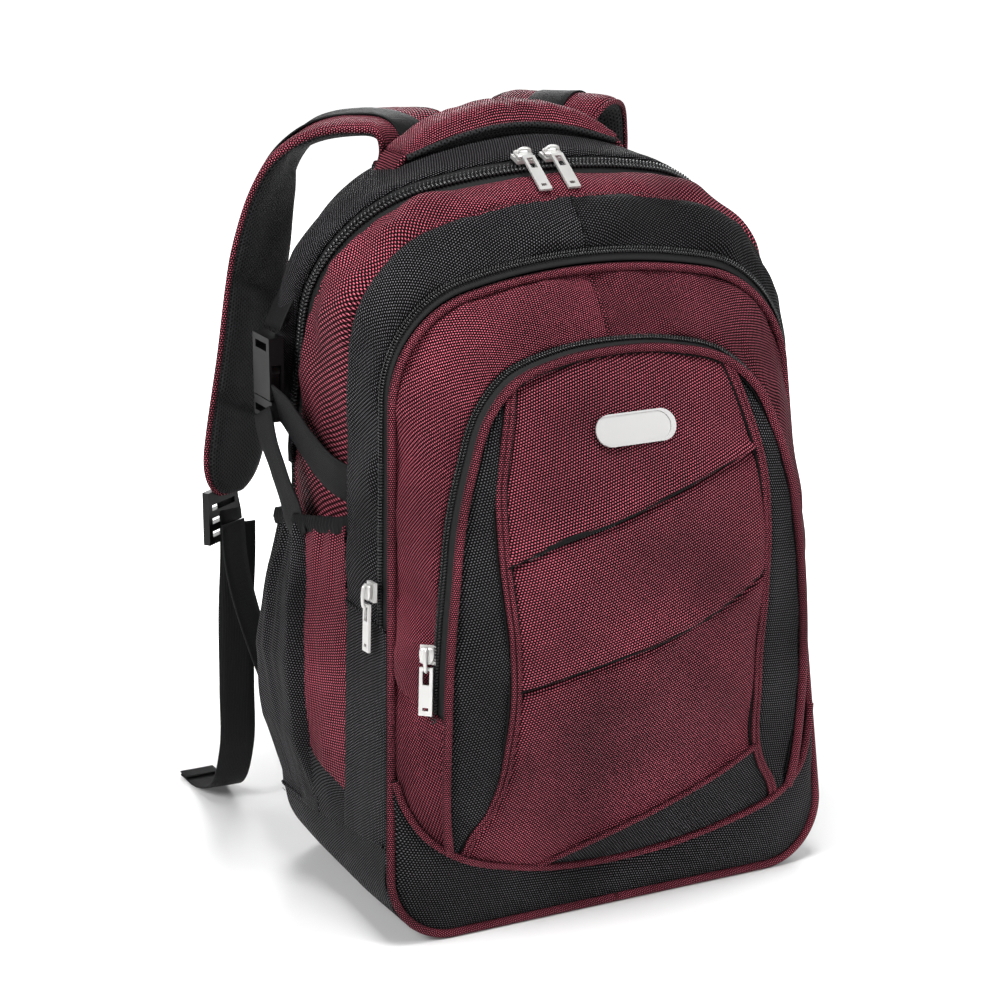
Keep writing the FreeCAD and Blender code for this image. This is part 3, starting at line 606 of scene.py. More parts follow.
def zip_depth(z):
    """Depth of the main zip's middle line at a height."""
    return np.interp(z, [250, 300, 325, 355, 388, 422, 450, 461], [97, 86, 78, 68, 57, 39, 25, 19])


def zip_line(u):
    """The main zip's depth at shares of the way round, where it crosses the shell."""
    y = np.full(np.shape(u), 40.0)
    for _ in range(30):
        y = y * 0.5 + zip_depth(on_table(ABOVE, u, y)[..., 2]) * 0.5
    return y


# ---------------------------------------------------------------- soft detail

def steps(p, axis):
    """Distances over a grid from its first row or column."""
    first = np.take(p, [0], axis=axis)
    return np.cumsum(np.linalg.norm(np.diff(p, axis=axis, prepend=first), axis=2), axis=axis)


def crease(p, seed, soft=0.8, size=45, ends=(0.0, 0.0), pitch=11, reach=9, puff=0.0,
           centre=BAG_MIDDLE):
    """Moves a grid in and out: slow waves all over, tight puckers by its first and last rows,
    and a crown between them."""
    across, along = steps(p, 0), steps(p, 1)
    width = across[-1:]
    fade = np.clip(np.minimum(across, width - across) / 5.0, 0, 1)
    move = soft * noise3(p, size, seed) * fade
    for k, (near, amount) in enumerate(((across, ends[0]), (width - across, ends[1]))):
        if amount:
            wave = noise1(along, pitch, seed + 5 + k)
            wave = wave + 0.5 * noise1(along, pitch * 0.45, seed + 9 + k)
            move += amount * wave * hill(near, reach) * np.clip(near / 2.0, 0.25, 1)
    share = across / np.maximum(width, 1e-6)
    move += puff * (1 - (2 * share - 1) ** 2)
    return p + outward(p, centre) * move[..., None]


def tucked(p, depth=2.4):
    """Adds rows that turn in at the grid's first and last rows, as a folded hem does."""
    n = outward(p)
    hems = []
    for edge, inside in ((0, 1), (-1, -2)):
        out = unit(p[edge] - p[inside])
        hems.append([p[edge] - n[edge] * depth, p[edge] + out * 0.5 - n[edge] * depth * 0.4])
    return np.vstack([hems[0], p, hems[1][::-1]])


# ---------------------------------------------------------------- the shell, back to front

ZIP_FABRIC_GAP = 8.2     # from the main zip's middle line to the hem of the fabric beside it
MIDDLE_HEM = -66.0       # the shell's depth where the front gusset ends beside the middle zip
PIPING = 2.7             # radius of the middle piping


def share_at_height(y, z):
    """The share of the way round at which the shell, at a depth, reaches a height."""
    u = np.linspace(0, 0.5, 600)
    return float(np.interp(z, on_table(ABOVE, u, y)[:, 2], u))


def rear_gusset_and_main_shell():
    u = np.linspace(0, 1, 520)
    line = zip_line(u)
    height = on_table(ABOVE, u, line)[..., 2]
    gap = ZIP_FABRIC_GAP * np.clip((height - 292) / 14, 0.06, 1)
    start = float(u[np.argmax(line + gap < 93.5)])
    inside = (u >= start) & (u <= 1 - start)
    low = np.interp(np.linspace(start, 1 - start, 400), u[inside], (line + gap)[inside])
    p = shell_grid(low, 95, 18, 400, (start, 1 - start))
    p = crease(p, 1, soft=1.3, size=60, ends=(0.35, 0.25), pitch=16, puff=2.0)
    share = np.linspace(0, 1, 18)[:, None]
    high = np.clip((p[..., 2] - 290) / 50, 0, 1) * np.clip((452 - p[..., 2]) / 45, 0, 1)
    under_handle = np.exp(-((p[..., 0] / 75) ** 4)) * (p[..., 2] > 440)
    swell = (9.0 * high + 4.5 * under_handle) * np.sin(math.pi * share**0.8)
    swell = 3.0 * np.exp(-((share * 6) ** 2)) + swell
    p = p + outward(p) * swell[..., None]
    cloth("rear_gusset_cloth", tucked(p), black, ["rear_gusset"], turn=8)

    p = shell_grid(-13.0, np.minimum(line - gap * 0.72, 95), 26, 520)
    top = np.clip((p[..., 2] - 250) / 120, 0, 1) * (1 - 0.8 * np.exp(-((p[..., 0] / 88) ** 4)))
    full = crease(p, 2, soft=4.6, size=30, ends=(1.4, 0.9), pitch=18, reach=18, puff=4.5)
    calm = crease(p, 3, soft=2.2, size=60, ends=(0.8, 0.6), pitch=26, reach=14, puff=2.5)
    p = calm * (1 - top[..., None]) + full * top[..., None]
    p = p - outward(p) * (2.2 * np.exp(-((np.linspace(1, 0, 26) * 8) ** 2)))[:, None, None]
    cloth("main_shell_cloth", tucked(p), burgundy, ["main_shell"], turn=35)

    low = share_at_height(-14, 330)
    edge = shell_grid(-14.0, -14.0, 2, 420, (low, 1 - low))[0]
    n = outward(shell_grid(-15.0, -13.0, 2, 420, (low, 1 - low)))[0]
    ripple = noise1(lengths(edge), 14, 21)[:, None]
    rise = np.sin(math.pi * np.linspace(0, 1, 420)) ** 0.5
    edge = edge + n * (1.3 * rise[:, None] + 0.9 * ripple * rise[:, None] - 0.6)
    tube("seam_roll", edge, 0.5 + 1.8 * rise, burgundy)


def chain(name, path, across, up, pitch, reach, tooth, high):
    """Zip teeth: two rows of small bars, offset by half a pitch, each leaning along the zip."""
    s = lengths(path)
    at = np.arange(pitch, s[-1] - pitch, pitch / 2)
    centre = sample(at, s, path)
    side, face, run = (unit(sample(at, s, values))
                       for values in (across, up, unit(np.gradient(path, axis=0))))
    shape, faces = pebble(reach, tooth, high)
    places = []
    for i, (c, a, f, r) in enumerate(zip(centre, side, face, run)):
        way = 1 if i % 2 else -1
        lean = unit(a * way + r * 0.45)
        places.append((c + a * way * reach * 0.47, lean, unit(np.cross(f, lean)), f))
    copies(name, shape, faces, places, coil)


def sewn_zip(name, grid, coil_at, pitch, reach, tooth, high, tape_drop=1.0):
    """A zip laid on a grid: its tape, and teeth along one line at a share of the way across."""
    n = outward(grid)
    cloth(f"{name}_tape", grid - n * tape_drop, tape, [name], thick=1.0)
    rows = len(grid)
    k = coil_at * (rows - 1)
    a, f = int(k), k - int(k)
    path = grid[a] * (1 - f) + grid[min(a + 1, rows - 1)] * f
    up = n[rows // 2]
    chain(f"{name}_teeth", path + up * (high * 0.3 - tape_drop * 0.5), unit(grid[-1] - grid[0]),
          up, pitch, reach, tooth, high)


def main_zip():
    start = share_at_height(82, 298)
    u = np.linspace(start, 1 - start, 420)
    line = zip_line(u)
    across = np.linspace(-9.2, 9.2, 7)
    rows = np.array([on_table(ABOVE, u, np.clip(line + d, -14, 95)) for d in across])
    rows = rows + outward(rows) * (across * 0.24 + 0.6)[:, None, None]
    sewn_zip("main_zip", rows, 0.5, 2.7, 4.2, 2.0, 3.6)


def lapped(p):
    """Lifts the last rows of the front gusset, whose hem laps over the panel behind it."""
    share = np.linspace(0, 1, len(p))[:, None]
    return p + outward(p) * (2.6 * np.exp(-(((1 - share) * 4.5) ** 2)))[..., None]


def front_gusset():
    end = share_at_height(-60, 203)
    p = shell_grid(MIDDLE_HEM, -14.6, 18, 420, (end, 1 - end))
    p = crease(p, 6, soft=3.6, size=36, ends=(0.6, 0.9), pitch=18, reach=16, puff=2.8)
    p = lapped(p)
    half = p.shape[1] // 2
    left, right = p[:, : half + 1], p[:, half:]
    cloth("front_gusset_upper_left", tucked(left), black, ["front_gusset"], turn=20)
    # The right half and the centre seam take the darker copy: painted shade.
    cloth("front_gusset_upper_right", tucked(right), black_painted_shade, turn=-20)
    seam = p[:, half] + outward(p)[:, half] * 0.5
    tube("front_gusset_centre_seam", even(seam, 30), 0.7, black_painted_shade, sides=6)
    for name, u_range in (("left", (0.0, end)), ("right", (1 - end, 1.0))):
        p = shell_grid(-80.0, -14.6, 18, 90, u_range)
        p = lapped(crease(p, 7, soft=1.2, size=50, ends=(0.3, 0.3), pitch=20, puff=1.6))
        cloth(f"front_gusset_lower_{name}", tucked(p), black, turn=60)
        seam = (p + outward(p) * 0.4)[:, -1 if name == "left" else 0]
        tube(f"front_gusset_seam_{name}", even(seam, 24), 0.8, black, sides=6)


def middle_zip():
    start = share_at_height(-72, 200)
    p = shell_grid(-79.5, MIDDLE_HEM + 1.0, 7, 420, (start, 1 - start))
    sewn_zip("middle_zip", p, 0.70, 1.9, 2.5, 1.3, 2.4, tape_drop=0.9)


def boot():
    """The boot bulges at the sides, towards the back, where the bottle pockets stand on it."""
    def bulge(y):
        return 9.0 * np.interp(y, [-5, 55, 90, 95], [0, 0.8, 1, 0.9])

    p = shell_grid(-79.8, 95, 46, 240, table=BELOW)
    wave = 0.9 * noise3(p, 60, 31) * np.clip(p[..., 2] / 20, 0, 1)
    p = p + outward(p) * wave[..., None]
    swell = (bulge(p[..., 1]) * np.clip((p[..., 2] - 4) / 42, 0, 1)
             * np.clip((np.abs(p[..., 0]) - 105) / 35, 0, 1))
    p[..., 0] += np.sign(p[..., 0]) * swell
    p[..., 2] = np.maximum(p[..., 2], 0.15)
    cloth("base_boot_cloth", tucked(p.transpose(1, 0, 2)).transpose(1, 0, 2), black, ["base_boot"],
          thick=2.0, turn=4)
    for name, side in SIDES:
        u = max(side, 0)
        edge = shell_grid(-78, 94, 90, 2, (u, u), table=BELOW)[:, 0]
        edge[:, 0] += side * (bulge(edge[:, 1]) + 0.9)
        tube(f"boot_seam_{name}", edge + [0, 0, 0.3], 1.1, black, sides=7)
        stitches(f"boot_stitches_{name}", edge + [0, 0, -4.0], (side, 0, 0))


def middle_piping():
    path = even(arch(MIDDLE, grow=-PIPING), 520)[:-1]
    path[:, 2] = np.maximum(path[:, 2], PIPING)
    tube("middle_piping_cord", path, PIPING, piping_cloth, ["middle_piping"],
         closed=True, sides=12)


# ---------------------------------------------------------------- the front

# Left halves of the front's lines, bottom to top, each ending on the middle plane or at a seam.
POCKET_RAIL = [(-123, -93.5, 62), (-126, -96, 85), (-127, -98, 112), (-127, -100, 140),
               (-126.5, -100.5, 165), (-124.5, -100.5, 200), (-121, -100, 235), (-115, -97, 275),
               (-106, -93.5, 305), (-93, -88.5, 334), (-75, -83.3, 350.5), (-40, -79.3, 361),
               (0, -78, 364)]
BAND_EDGE = [(-150.6, -73.6, 108), (-146.6, -78, 92), (-136, -86.5, 73), (-123, -91, 62),
             (-113, -92, 56), (-98, -90, 49), (-81, -87, 43), (-45, -82, 33.5), (0, -79, 29.5)]
SEAM_XZ = [(-113, 56), (-108, 69), (-98, 85), (-92, 101), (-87.5, 137), (-86, 163), (-88, 202),
           (-92, 253), (-91, 289), (-82, 326), (-75, 350.5)]
UPPER_SLIT = [(-91.5, 247), (-62, 260), (-21, 270.5), (20, 282), (55, 291.5), (89.2, 298)]
LOWER_SLIT = [(-86.1, 168), (-36, 181), (6, 190.5), (43, 202), (89.6, 222)]
WEDGE_LINE = [(-60, 37.3), (-17, 52), (17, 64), (64, 84), (92.3, 99)]
PLATE_AT, PLATE_SLOPE = (-101.9, 320.2), 25.3 / 57.4

RAIL_Y = ([29.5, 43, 56, 64, 85, 112, 140, 200, 235, 275, 305, 334, 350, 361, 364],
          [-79, -87, -92, -93.8, -96, -98, -100, -100.5, -100, -97, -93.5, -88.5, -83.3, -79.3,
           -78])
BULGE = ([29, 60, 100, 150, 200, 240, 275, 310, 320, 330, 345, 364],
         [0, 2, 12, 22.5, 30, 28.5, 27, 19.5, 17.5, 16, 15.5, 15])

pocket_rail = smooth(mirrored(POCKET_RAIL), 420)
band_edge = smooth(mirrored(BAND_EDGE), 300)


def distance_to(points, line):
    """Distance from each (x, z) point of an array to the nearest point of a line."""
    flat = points.reshape(-1, 2)
    away = np.min(np.linalg.norm(flat[:, None] - line[None], axis=2), axis=1)
    return away.reshape(points.shape[:-1])


def front_surface(x, z):
    """Depth of the front pocket's face: fullest in the middle, meeting its piping all round."""
    x, z = np.broadcast_arrays(np.asarray(x, float), np.asarray(z, float))
    away = distance_to(np.stack([x, z], -1), pocket_rail[::2, [0, 2]])
    full = np.interp(z, *BULGE) * (1 - np.exp(-((away / 55) ** 1.15)))
    y = np.interp(z, *RAIL_Y) - full
    plate = PLATE_AT[0] + (z - PLATE_AT[1]) * PLATE_SLOPE + 0.5
    near = np.clip((34 - np.abs(x)) / 8, 0, 1) * np.clip((20 - np.abs(z - PLATE_AT[1])) / 6, 0, 1)
    return np.where(y < plate, y * (1 - near) + plate * near, y)


def on_front(line, count, lift=0.0):
    """A line of (x, z) points laid on the pocket's face."""
    x, z = smooth(line, count).T
    return np.stack([x, front_surface(x, z) - lift, z], 1)


def front_panel(left, right, low, high, rows, cols):
    grid = coons(left, right, low, high, rows, cols)
    y = front_surface(grid[..., 0], grid[..., 1]) + groove(grid)
    return np.stack([grid[..., 0], y, grid[..., 1]], -1)


def groove(grid):
    """How far a panel sinks beside the piping sewn into its edges."""
    seam = smooth(SEAM_XZ, 200)
    seams = np.vstack([seam, flipped(seam), pocket_rail[::2, [0, 2]]])
    return 2.6 * hill(distance_to(grid, seams), 4.2)


def seam_part(low, high, side):
    """The stretch of the side seam between two heights, ends included."""
    line = smooth(SEAM_XZ, 300)
    inside = line[(line[:, 1] > low) & (line[:, 1] < high)]
    first, last = sample(np.array([low, high]), line[:, 1], line)
    part = np.vstack([first, inside, last])
    return part if side < 0 else flipped(part)


def planar_uv(p):
    return np.stack([p[..., 0], p[..., 2]], -1).reshape(-1, 2)


def recess(p, depth, reach=4.0):
    """Sinks a panel along its upper edge, where the panel above overlaps it."""
    across = steps(p, 0)
    return p + (depth * hill(across[-1:] - across, reach))[..., None] * [0, 1, 0]


def pocket_panel(name, p, replaces=()):
    hemmed = tucked(p, depth=2.0)
    cloth(f"centre_panel_{name}", hemmed, burgundy, replaces, uv=planar_uv(hemmed), turn=-14)


def centre_panels(upper_slit, lower_slit, head, foot):
    """The burgundy panels, each hanging over the one below, and the black wedge under them."""
    rail_xz, edge_xz = pocket_rail[:, [0, 2]], band_edge[:, [0, 2]]
    crown = rail_xz[(rail_xz[:, 1] > head[1]) & (np.abs(rail_xz[:, 0]) < -head[0])]
    crown = np.vstack([head, crown, flipped([head])])
    (_, left_high), (_, right_high) = UPPER_SLIT[0], UPPER_SLIT[-1]
    (_, left_low), (_, right_low) = LOWER_SLIT[0], LOWER_SLIT[-1]

    p = front_panel(seam_part(left_high, head[1], -1), seam_part(right_high, head[1], 1),
                    upper_slit, crown, 40, 70)
    p = crease(p, 41, soft=2.0, size=70, ends=(0.35, 0.5), pitch=25)
    p[..., 1] -= hill(np.arange(40), 3.0)[:, None] * 2.4
    pocket_panel("upper", p, ["pocket_centre"])

    p = front_panel(seam_part(left_low, left_high, -1), seam_part(right_low, right_high, 1),
                    lower_slit, upper_slit, 36, 70)
    p = recess(crease(p, 42, soft=2.0, size=60, ends=(0.3, 0.3), pitch=25), 4.0)
    p[..., 1] -= hill(np.arange(36), 3.0)[:, None] * 2.2
    pocket_panel("middle", p)

    wedge = smooth(WEDGE_LINE, 120)
    corner, wedge_top = wedge[0], wedge[-1][1]
    left_edge = edge_xz[(edge_xz[:, 0] > foot[0]) & (edge_xz[:, 0] < corner[0])]
    p = front_panel(seam_part(foot[1], left_low, -1), seam_part(wedge_top, right_low, 1),
                    np.vstack([foot, left_edge, wedge]), lower_slit, 50, 70)
    p = recess(crease(p, 43, soft=2.2, size=60, ends=(0.4, 0.3), pitch=22), 4.0)
    pocket_panel("lower", p)

    right_edge = edge_xz[(edge_xz[:, 0] > corner[0]) & (edge_xz[:, 0] < -foot[0])]
    p = front_panel(np.linspace(corner, corner + [0.5, 0.6], 10), seam_part(foot[1], wedge_top, 1),
                    np.vstack([corner, right_edge, flipped([foot])]), wedge, 16, 70)
    p = recess(p, 1.0, 3.0)
    cloth("centre_panel_wedge", p, black, uv=planar_uv(p), turn=-10)
    tube("wedge_piping", on_front(WEDGE_LINE, 90, 0.8), 2.0, piping_cloth)


def side_panels(seam, head, foot):
    """The black panel and the doubled piping on each side of the front pocket."""
    rail = pocket_rail[:, [0, 2]]
    rail = np.vstack([rail[(rail[:, 0] < 0) & (rail[:, 1] < head[1])], head])
    low, high = np.vstack([rail[0], foot]), np.vstack([head + [-0.6, 0], head])
    for name, side in SIDES:
        lines = [rail, seam, low, high]
        if side > 0:
            lines = [flipped(seam), flipped(rail), flipped(low[::-1]), flipped(high[::-1])]
        p = crease(front_panel(*lines, 110, 16), 45 + side, soft=2.0, size=34)
        cloth(f"pocket_side_cloth_{name}", p, black, [f"pocket_side_{name}"], uv=planar_uv(p),
              turn=10 * side)
        line = np.array(SEAM_XZ) * [-side, 1]
        for part, shift in (("inner", 1.6), ("outer", -1.6)):
            doubled = line - [side * shift, 0]
            tube(f"centre_piping_{name}_{part}", on_front(doubled, 220, -0.5), 1.65, piping_cloth)
            # A painted shade line beside each piping.
            seam_shade_line(f"centre_{name}_{part}", line - [side * shift * 2.3, 0])


def pocket_face():
    seam = smooth(SEAM_XZ, 300)
    head, foot = seam[-1], seam[0]
    upper_slit, lower_slit = smooth(UPPER_SLIT, 160), smooth(LOWER_SLIT, 160)
    centre_panels(upper_slit, lower_slit, head, foot)
    side_panels(seam, head, foot)
    tube("pocket_piping_cord", pocket_rail + [0, -0.9, 0], 2.8, piping_cloth, ["pocket_piping"],
         sides=12)
    rail = pocket_rail[:, [0, 2]]
    run = unit(np.gradient(rail, axis=0))
    # A painted shade line beside the pocket's piping.
    seam_shade_line("pocket_rail", (rail + np.stack([run[:, 1], -run[:, 0]], 1) * 3.4)[::6])
    slit_zip(upper_slit)
    rise = np.sin(math.pi * np.linspace(0.02, 0.98, 100)) ** 0.5
    gape = hill(np.linspace(0, 1, 100) - 0.2, 0.12)
    for name, slit, swell in (("upper", upper_slit, 1.5 * rise + gape),
                              ("lower", lower_slit, 1.1 * rise)):
        # A near-black strip in each slit: the lining seen there, darkened to paint the slit's
        # shade.
        tube(f"slit_lining_and_shade_{name}", on_front(slit[::3], 100, 0.9) - [0, 0, 0.9], swell, lining_and_shade_black,
             sides=8)


def seam_shade_line(name, line):
    """Near-black tube beside a piping: painted shade in its groove, partly a dark stitched edge."""
    tube(f"seam_shade_line_{name}", on_front(line, 200, -1.7), 0.9, lining_and_shade_black, sides=6)


def slit_zip(slit):
    """The concealed zip that shows where the upper slit gapes at its left."""
    line = slit[(slit[:, 0] > -80) & (slit[:, 0] < -22)]
    x, z = line.T
    p = even(np.stack([x, front_surface(x, z) - 2.2, z - 1.4], 1), 40)
    across, up = (np.broadcast_to(way, p.shape) for way in ([0.25, 0, 1.0], [0, -1.0, 0]))
    chain("slit_zip_teeth", p + [0, 0.4, 0], across, up, pitch=2.0, reach=1.7, tooth=1.0, high=1.2)


def outer_zip_line():
    """The outer edge of the pocket's zip: the pocket's piping moved outwards and back."""
    run = unit(np.gradient(pocket_rail, axis=0))
    out = unit(np.stack([-run[:, 2], np.zeros(len(run)), run[:, 0]], 1))
    return pocket_rail + out * 5.5 + np.array([0, 11.0, 0])


def face_edge(grow, count):
    """The line just inside the middle piping, where the fabric of the face is sewn to it."""
    return even(arch(MIDDLE, grow=grow), count) + [0, 0.6, 0]


ZIP_END, SEAM_END, BAND_END = 150.0, 171.0, 112.0     # heights at the pocket's sides


def middle_face():
    zip_edge = outer_zip_line()
    inner = even(zip_edge[zip_edge[:, 2] > ZIP_END], 420)
    outer = face_edge(-5.0, 800)
    p = ruled(even(outer[outer[:, 2] > SEAM_END], 420), inner, 20)
    p = crease(p, 51, soft=3.2, size=42, ends=(1.8, 1.6), pitch=22, reach=16, puff=3.4)
    half = p.shape[1] // 2
    cloth("middle_face_left", tucked(p[:, : half + 1]), burgundy, ["middle_face"], turn=-35)
    # The right half and the centre seam take the darker copy: painted shade.
    cloth("middle_face_right", tucked(p[:, half:]), burgundy_painted_shade, turn=35)
    seam = (p + outward(p) * 0.4)[:, half]
    tube("middle_face_seam", even(seam, 30), 0.8, burgundy_painted_shade, sides=6)

    rail = pocket_rail[(pocket_rail[:, 0] < 0) & (pocket_rail[:, 2] < ZIP_END)]
    edge = np.vstack([band_edge[band_edge[:, 0] < POCKET_RAIL[0][0]], rail[:1]])
    left = face_edge(-5.0, 1600)
    left = left[(left[:, 0] < 0) & (left[:, 2] > BAND_END) & (left[:, 2] < SEAM_END)]
    high = np.stack([left[-1], rail[-1]])
    for name, side in SIDES:
        lines = [left, rail, edge, high]
        if side > 0:
            lines = [flipped(rail), flipped(left), flipped(edge[::-1]), flipped(high[::-1])]
        p = crease(coons(*lines, 40, 24), 53, soft=0.8, size=30, puff=1.5)
        cloth(f"middle_face_lower_{name}", p, burgundy, turn=50 * side)
        # The seam at each lower panel's top takes the darker burgundy: painted shade.
        tube(f"middle_face_lower_seam_{name}", even(lines[3], 20) + [0, -0.8, 0], 0.9,
             burgundy_painted_shade, sides=6)


def pocket_zip():
    outer = outer_zip_line()
    keep = outer[:, 2] > 146
    p = ruled(outer[keep], pocket_rail[keep] + [0, 1.5, 0], 8)
    sewn_zip("pocket_zip", p, 0.22, 1.9, 2.4, 1.25, 2.2, tape_drop=0.4)


def bottom_band():
    half = face_edge(-4.6, 1600)[:800]
    half = half[: np.argmax(half[:, 2] > BAND_END)]
    low = even(mirrored(half[::-1]), 300)
    p = crease(ruled(low, even(band_edge, 300), 18), 61, soft=0.9, size=45, puff=3.0)
    p[..., 2] = np.maximum(p[..., 2], 1.2)
    cloth("bottom_band_cloth", p, black, ["bottom_band"], turn=6, thick=1.6,
          uv=planar_uv(p))
    tube("band_piping", band_edge + [0, -1.6, 0.4], 2.4, piping_cloth)


# ---------------------------------------------------------------- the bottle pockets

FOLD_AT = 22.0        # depth at which the burgundy front of a bottle pocket meets its black rear


def mouth_height(y):
    return np.interp(y, [-20, 0, 20, 60, 100], [257, 254, 250, 243, 232])


def side_wall(y, z):
    """Half width of the bag's side at a depth and height, below the shoulder."""
    return np.interp(z, [50, 110, 260], [157.0, 157.5, 155.5]) - np.maximum(y - 20, 0) * 0.13


def pouch_wall(y, z):
    """Half width of a bottle pocket: it hangs out from the bag's side, most at its rear."""
    reach = np.interp(y, [-15.4, -8, 5, FOLD_AT - 2, FOLD_AT + 5, 45, 75, 90, 97, 101],
                      [153.5, 158.0, 164.5, 167.5, 171.0, 173.5, 177.0, 177.0, 170.0, 144.0])
    front, rear = (np.interp(z, [56, 70, 100, 150, 200, 236, 258], shares)
                   for shares in ([0.28, 0.46, 0.78, 1.0, 0.97, 0.80, 0.70],
                                  [0.24, 0.40, 0.72, 0.84, 0.62, 0.22, 0.10]))
    share = np.clip((y - 28) / 40, 0, 1)
    wall = side_wall(y, z)
    return wall + (reach - wall) * (front * (1 - share) + rear * share)


def pouch_foot(y):
    """Height at which a bottle pocket goes into the boot's seam."""
    return boot_line(y) - 1.5


def corner_seam(y):
    """Height at which the burgundy front of a bottle pocket meets its black lower corner."""
    return np.interp(y, [-16, 25], [80.0, 101.0])


def pouch_grid(y_from, y_to, foot, rows, cols, seed, gathers):
    y = np.linspace(y_from, y_to, cols)[None, :]
    share = np.linspace(0, 1, rows)[:, None]
    high = mouth_height(y)
    z_low = foot(y)
    z = z_low + (high - z_low) * share
    y = np.broadcast_to(y, z.shape)
    x = pouch_wall(y, z) + 1.2
    fall = np.exp(-((high - z) / 48.0))
    low = np.exp(-((z - z_low) / 45.0))
    pleat = noise1(y + 6 * np.sin(z / 37.0), 7.5, seed)
    long_fold = noise1(y + z * 0.16, 17.0, seed + 3)
    loose = np.clip((y + 15) / 9, 0, 1) * np.clip(0.15 + (z - z_low) / 16, 0, 1)
    x = x + gathers * loose * (pleat * fall + 1.1 * long_fold * (0.35 + 0.5 * low))
    x = x + 1.2 * loose * noise3(np.stack([x, y, z], -1), 34, seed + 6)
    return np.stack([np.maximum(x, side_wall(y, z) - 2.0), y, z], -1)


POCKETS_MIDDLE = np.array([0, 40, 150.0])


def bottle_pockets():
    for name, side in SIDES:
        sign = np.array([side, 1, 1.0])
        front = pouch_grid(-15.4, FOLD_AT + 3, corner_seam, 70, 40, 70, 1.9)
        front[..., 0] -= 1.6 * hill(FOLD_AT + 1 - front[..., 1], 5.0)
        cloth(f"bottle_pocket_front_{name}", front * sign, burgundy,
              [f"bottle_pocket_{name}"], centre=POCKETS_MIDDLE, turn=40 * side)
        gore = pouch_grid(-15.4, FOLD_AT + 3, pouch_foot, 24, 40, 71, 0.6)
        foot = pouch_foot(gore[..., 1])
        share = (gore[..., 2] - foot) / (mouth_height(gore[..., 1]) - foot)
        gore[..., 2] = foot + share * (corner_seam(gore[..., 1]) + 1.5 - foot)
        gore[..., 0] = pouch_wall(gore[..., 1], gore[..., 2]) + 0.6 - 0.4 * share
        cloth(f"bottle_pocket_corner_{name}", gore * sign, black,
              centre=POCKETS_MIDDLE, turn=20 * side)
        rear = pouch_grid(FOLD_AT - 2, 101, pouch_foot, 80, 110, 73, 4.2)
        ramp = np.clip((rear[..., 2] - 66) / 40, 0, 1)
        for high, behind, width in ((5.5, 5, 5.5), (-4.5, 15, 5.5), (-6.0, -2, 2.2)):
            rear[..., 0] += high * hill(rear[..., 1] - FOLD_AT - behind, width) * ramp
        cloth(f"bottle_pocket_rear_{name}", rear * sign, black, centre=POCKETS_MIDDLE,
              turn=12 * side)
        binding(name, side)


def binding(name, side):
    """The gathered elastic round a bottle pocket's mouth."""
    y = np.linspace(-21, 101, 160)
    z = mouth_height(y)
    x = pouch_wall(y, z) + 2.6 + 1.1 * noise1(y, 8.0, 81) - 7.0 * np.clip((-11 - y) / 9, 0, 1)
    path = np.stack([side * x, y, z], 1)
    low, high = path - [0, 0, 5.5], path + [0, 0, 5.5]
    bulge = path + [side * 1.3, 0, 0]
    rows = np.array([low, (low * 0.7 + bulge * 0.3), bulge, (high * 0.7 + bulge * 0.3), high])
    rows = np.array([even(row, 180) for row in rows])
    s = lengths(rows[2])
    rows[1:4, :, 0] += side * 0.35 * np.sin(s * 2.1)[None]
    uvs = weave_uv(rows)[:, ::-1]
    cloth(f"pocket_binding_cloth_{name}", rows, elastic_cloth, [f"pocket_binding_{name}"],
          thick=1.8, uv=uvs, centre=POCKETS_MIDDLE)


# ---------------------------------------------------------------- webbing

def webbing(name, path, across, width=25.0, thick=1.5, body="bag", material=webbing_cloth,
            replaces=(), count=None, curl=0.0):
    """A flat strap along a line: across gives its width's direction at each point of the line."""
    count = count or max(12, int(lengths(np.array(path, float))[-1] / 3))
    line = smooth(path, count)
    across = np.atleast_2d(np.array(across, float))
    across = sample(np.linspace(0, 1, count), np.linspace(0, 1, len(across)), across)
    run = unit(np.gradient(line, axis=0))
    side = unit(across - run * np.sum(across * run, axis=1, keepdims=True))
    face = unit(np.cross(run, side))
    half, edge = width / 2, thick / 2
    corner = half - edge * 0.6
    shape = np.array([(-corner, edge), (-half / 2, edge), (0, edge), (half / 2, edge),
                      (corner, edge), (half, edge * 0.35), (half, -edge * 0.35)])
    shape = np.vstack([shape, -shape])
    shape[:, 1] += curl * (shape[:, 0] / half) ** 2
    rings = line[:, None] + side[:, None] * shape[:, :1] + face[:, None] * shape[:, 1:]
    uvs = np.stack(np.meshgrid(shape[:, 0], lengths(line)), -1).reshape(-1, 2)
    obj = add_mesh(name, rings.reshape(-1, 3), capped_faces(count, len(shape)), uvs)
    fix_normals(obj)
    return finish_piece(obj, material, body, replaces)


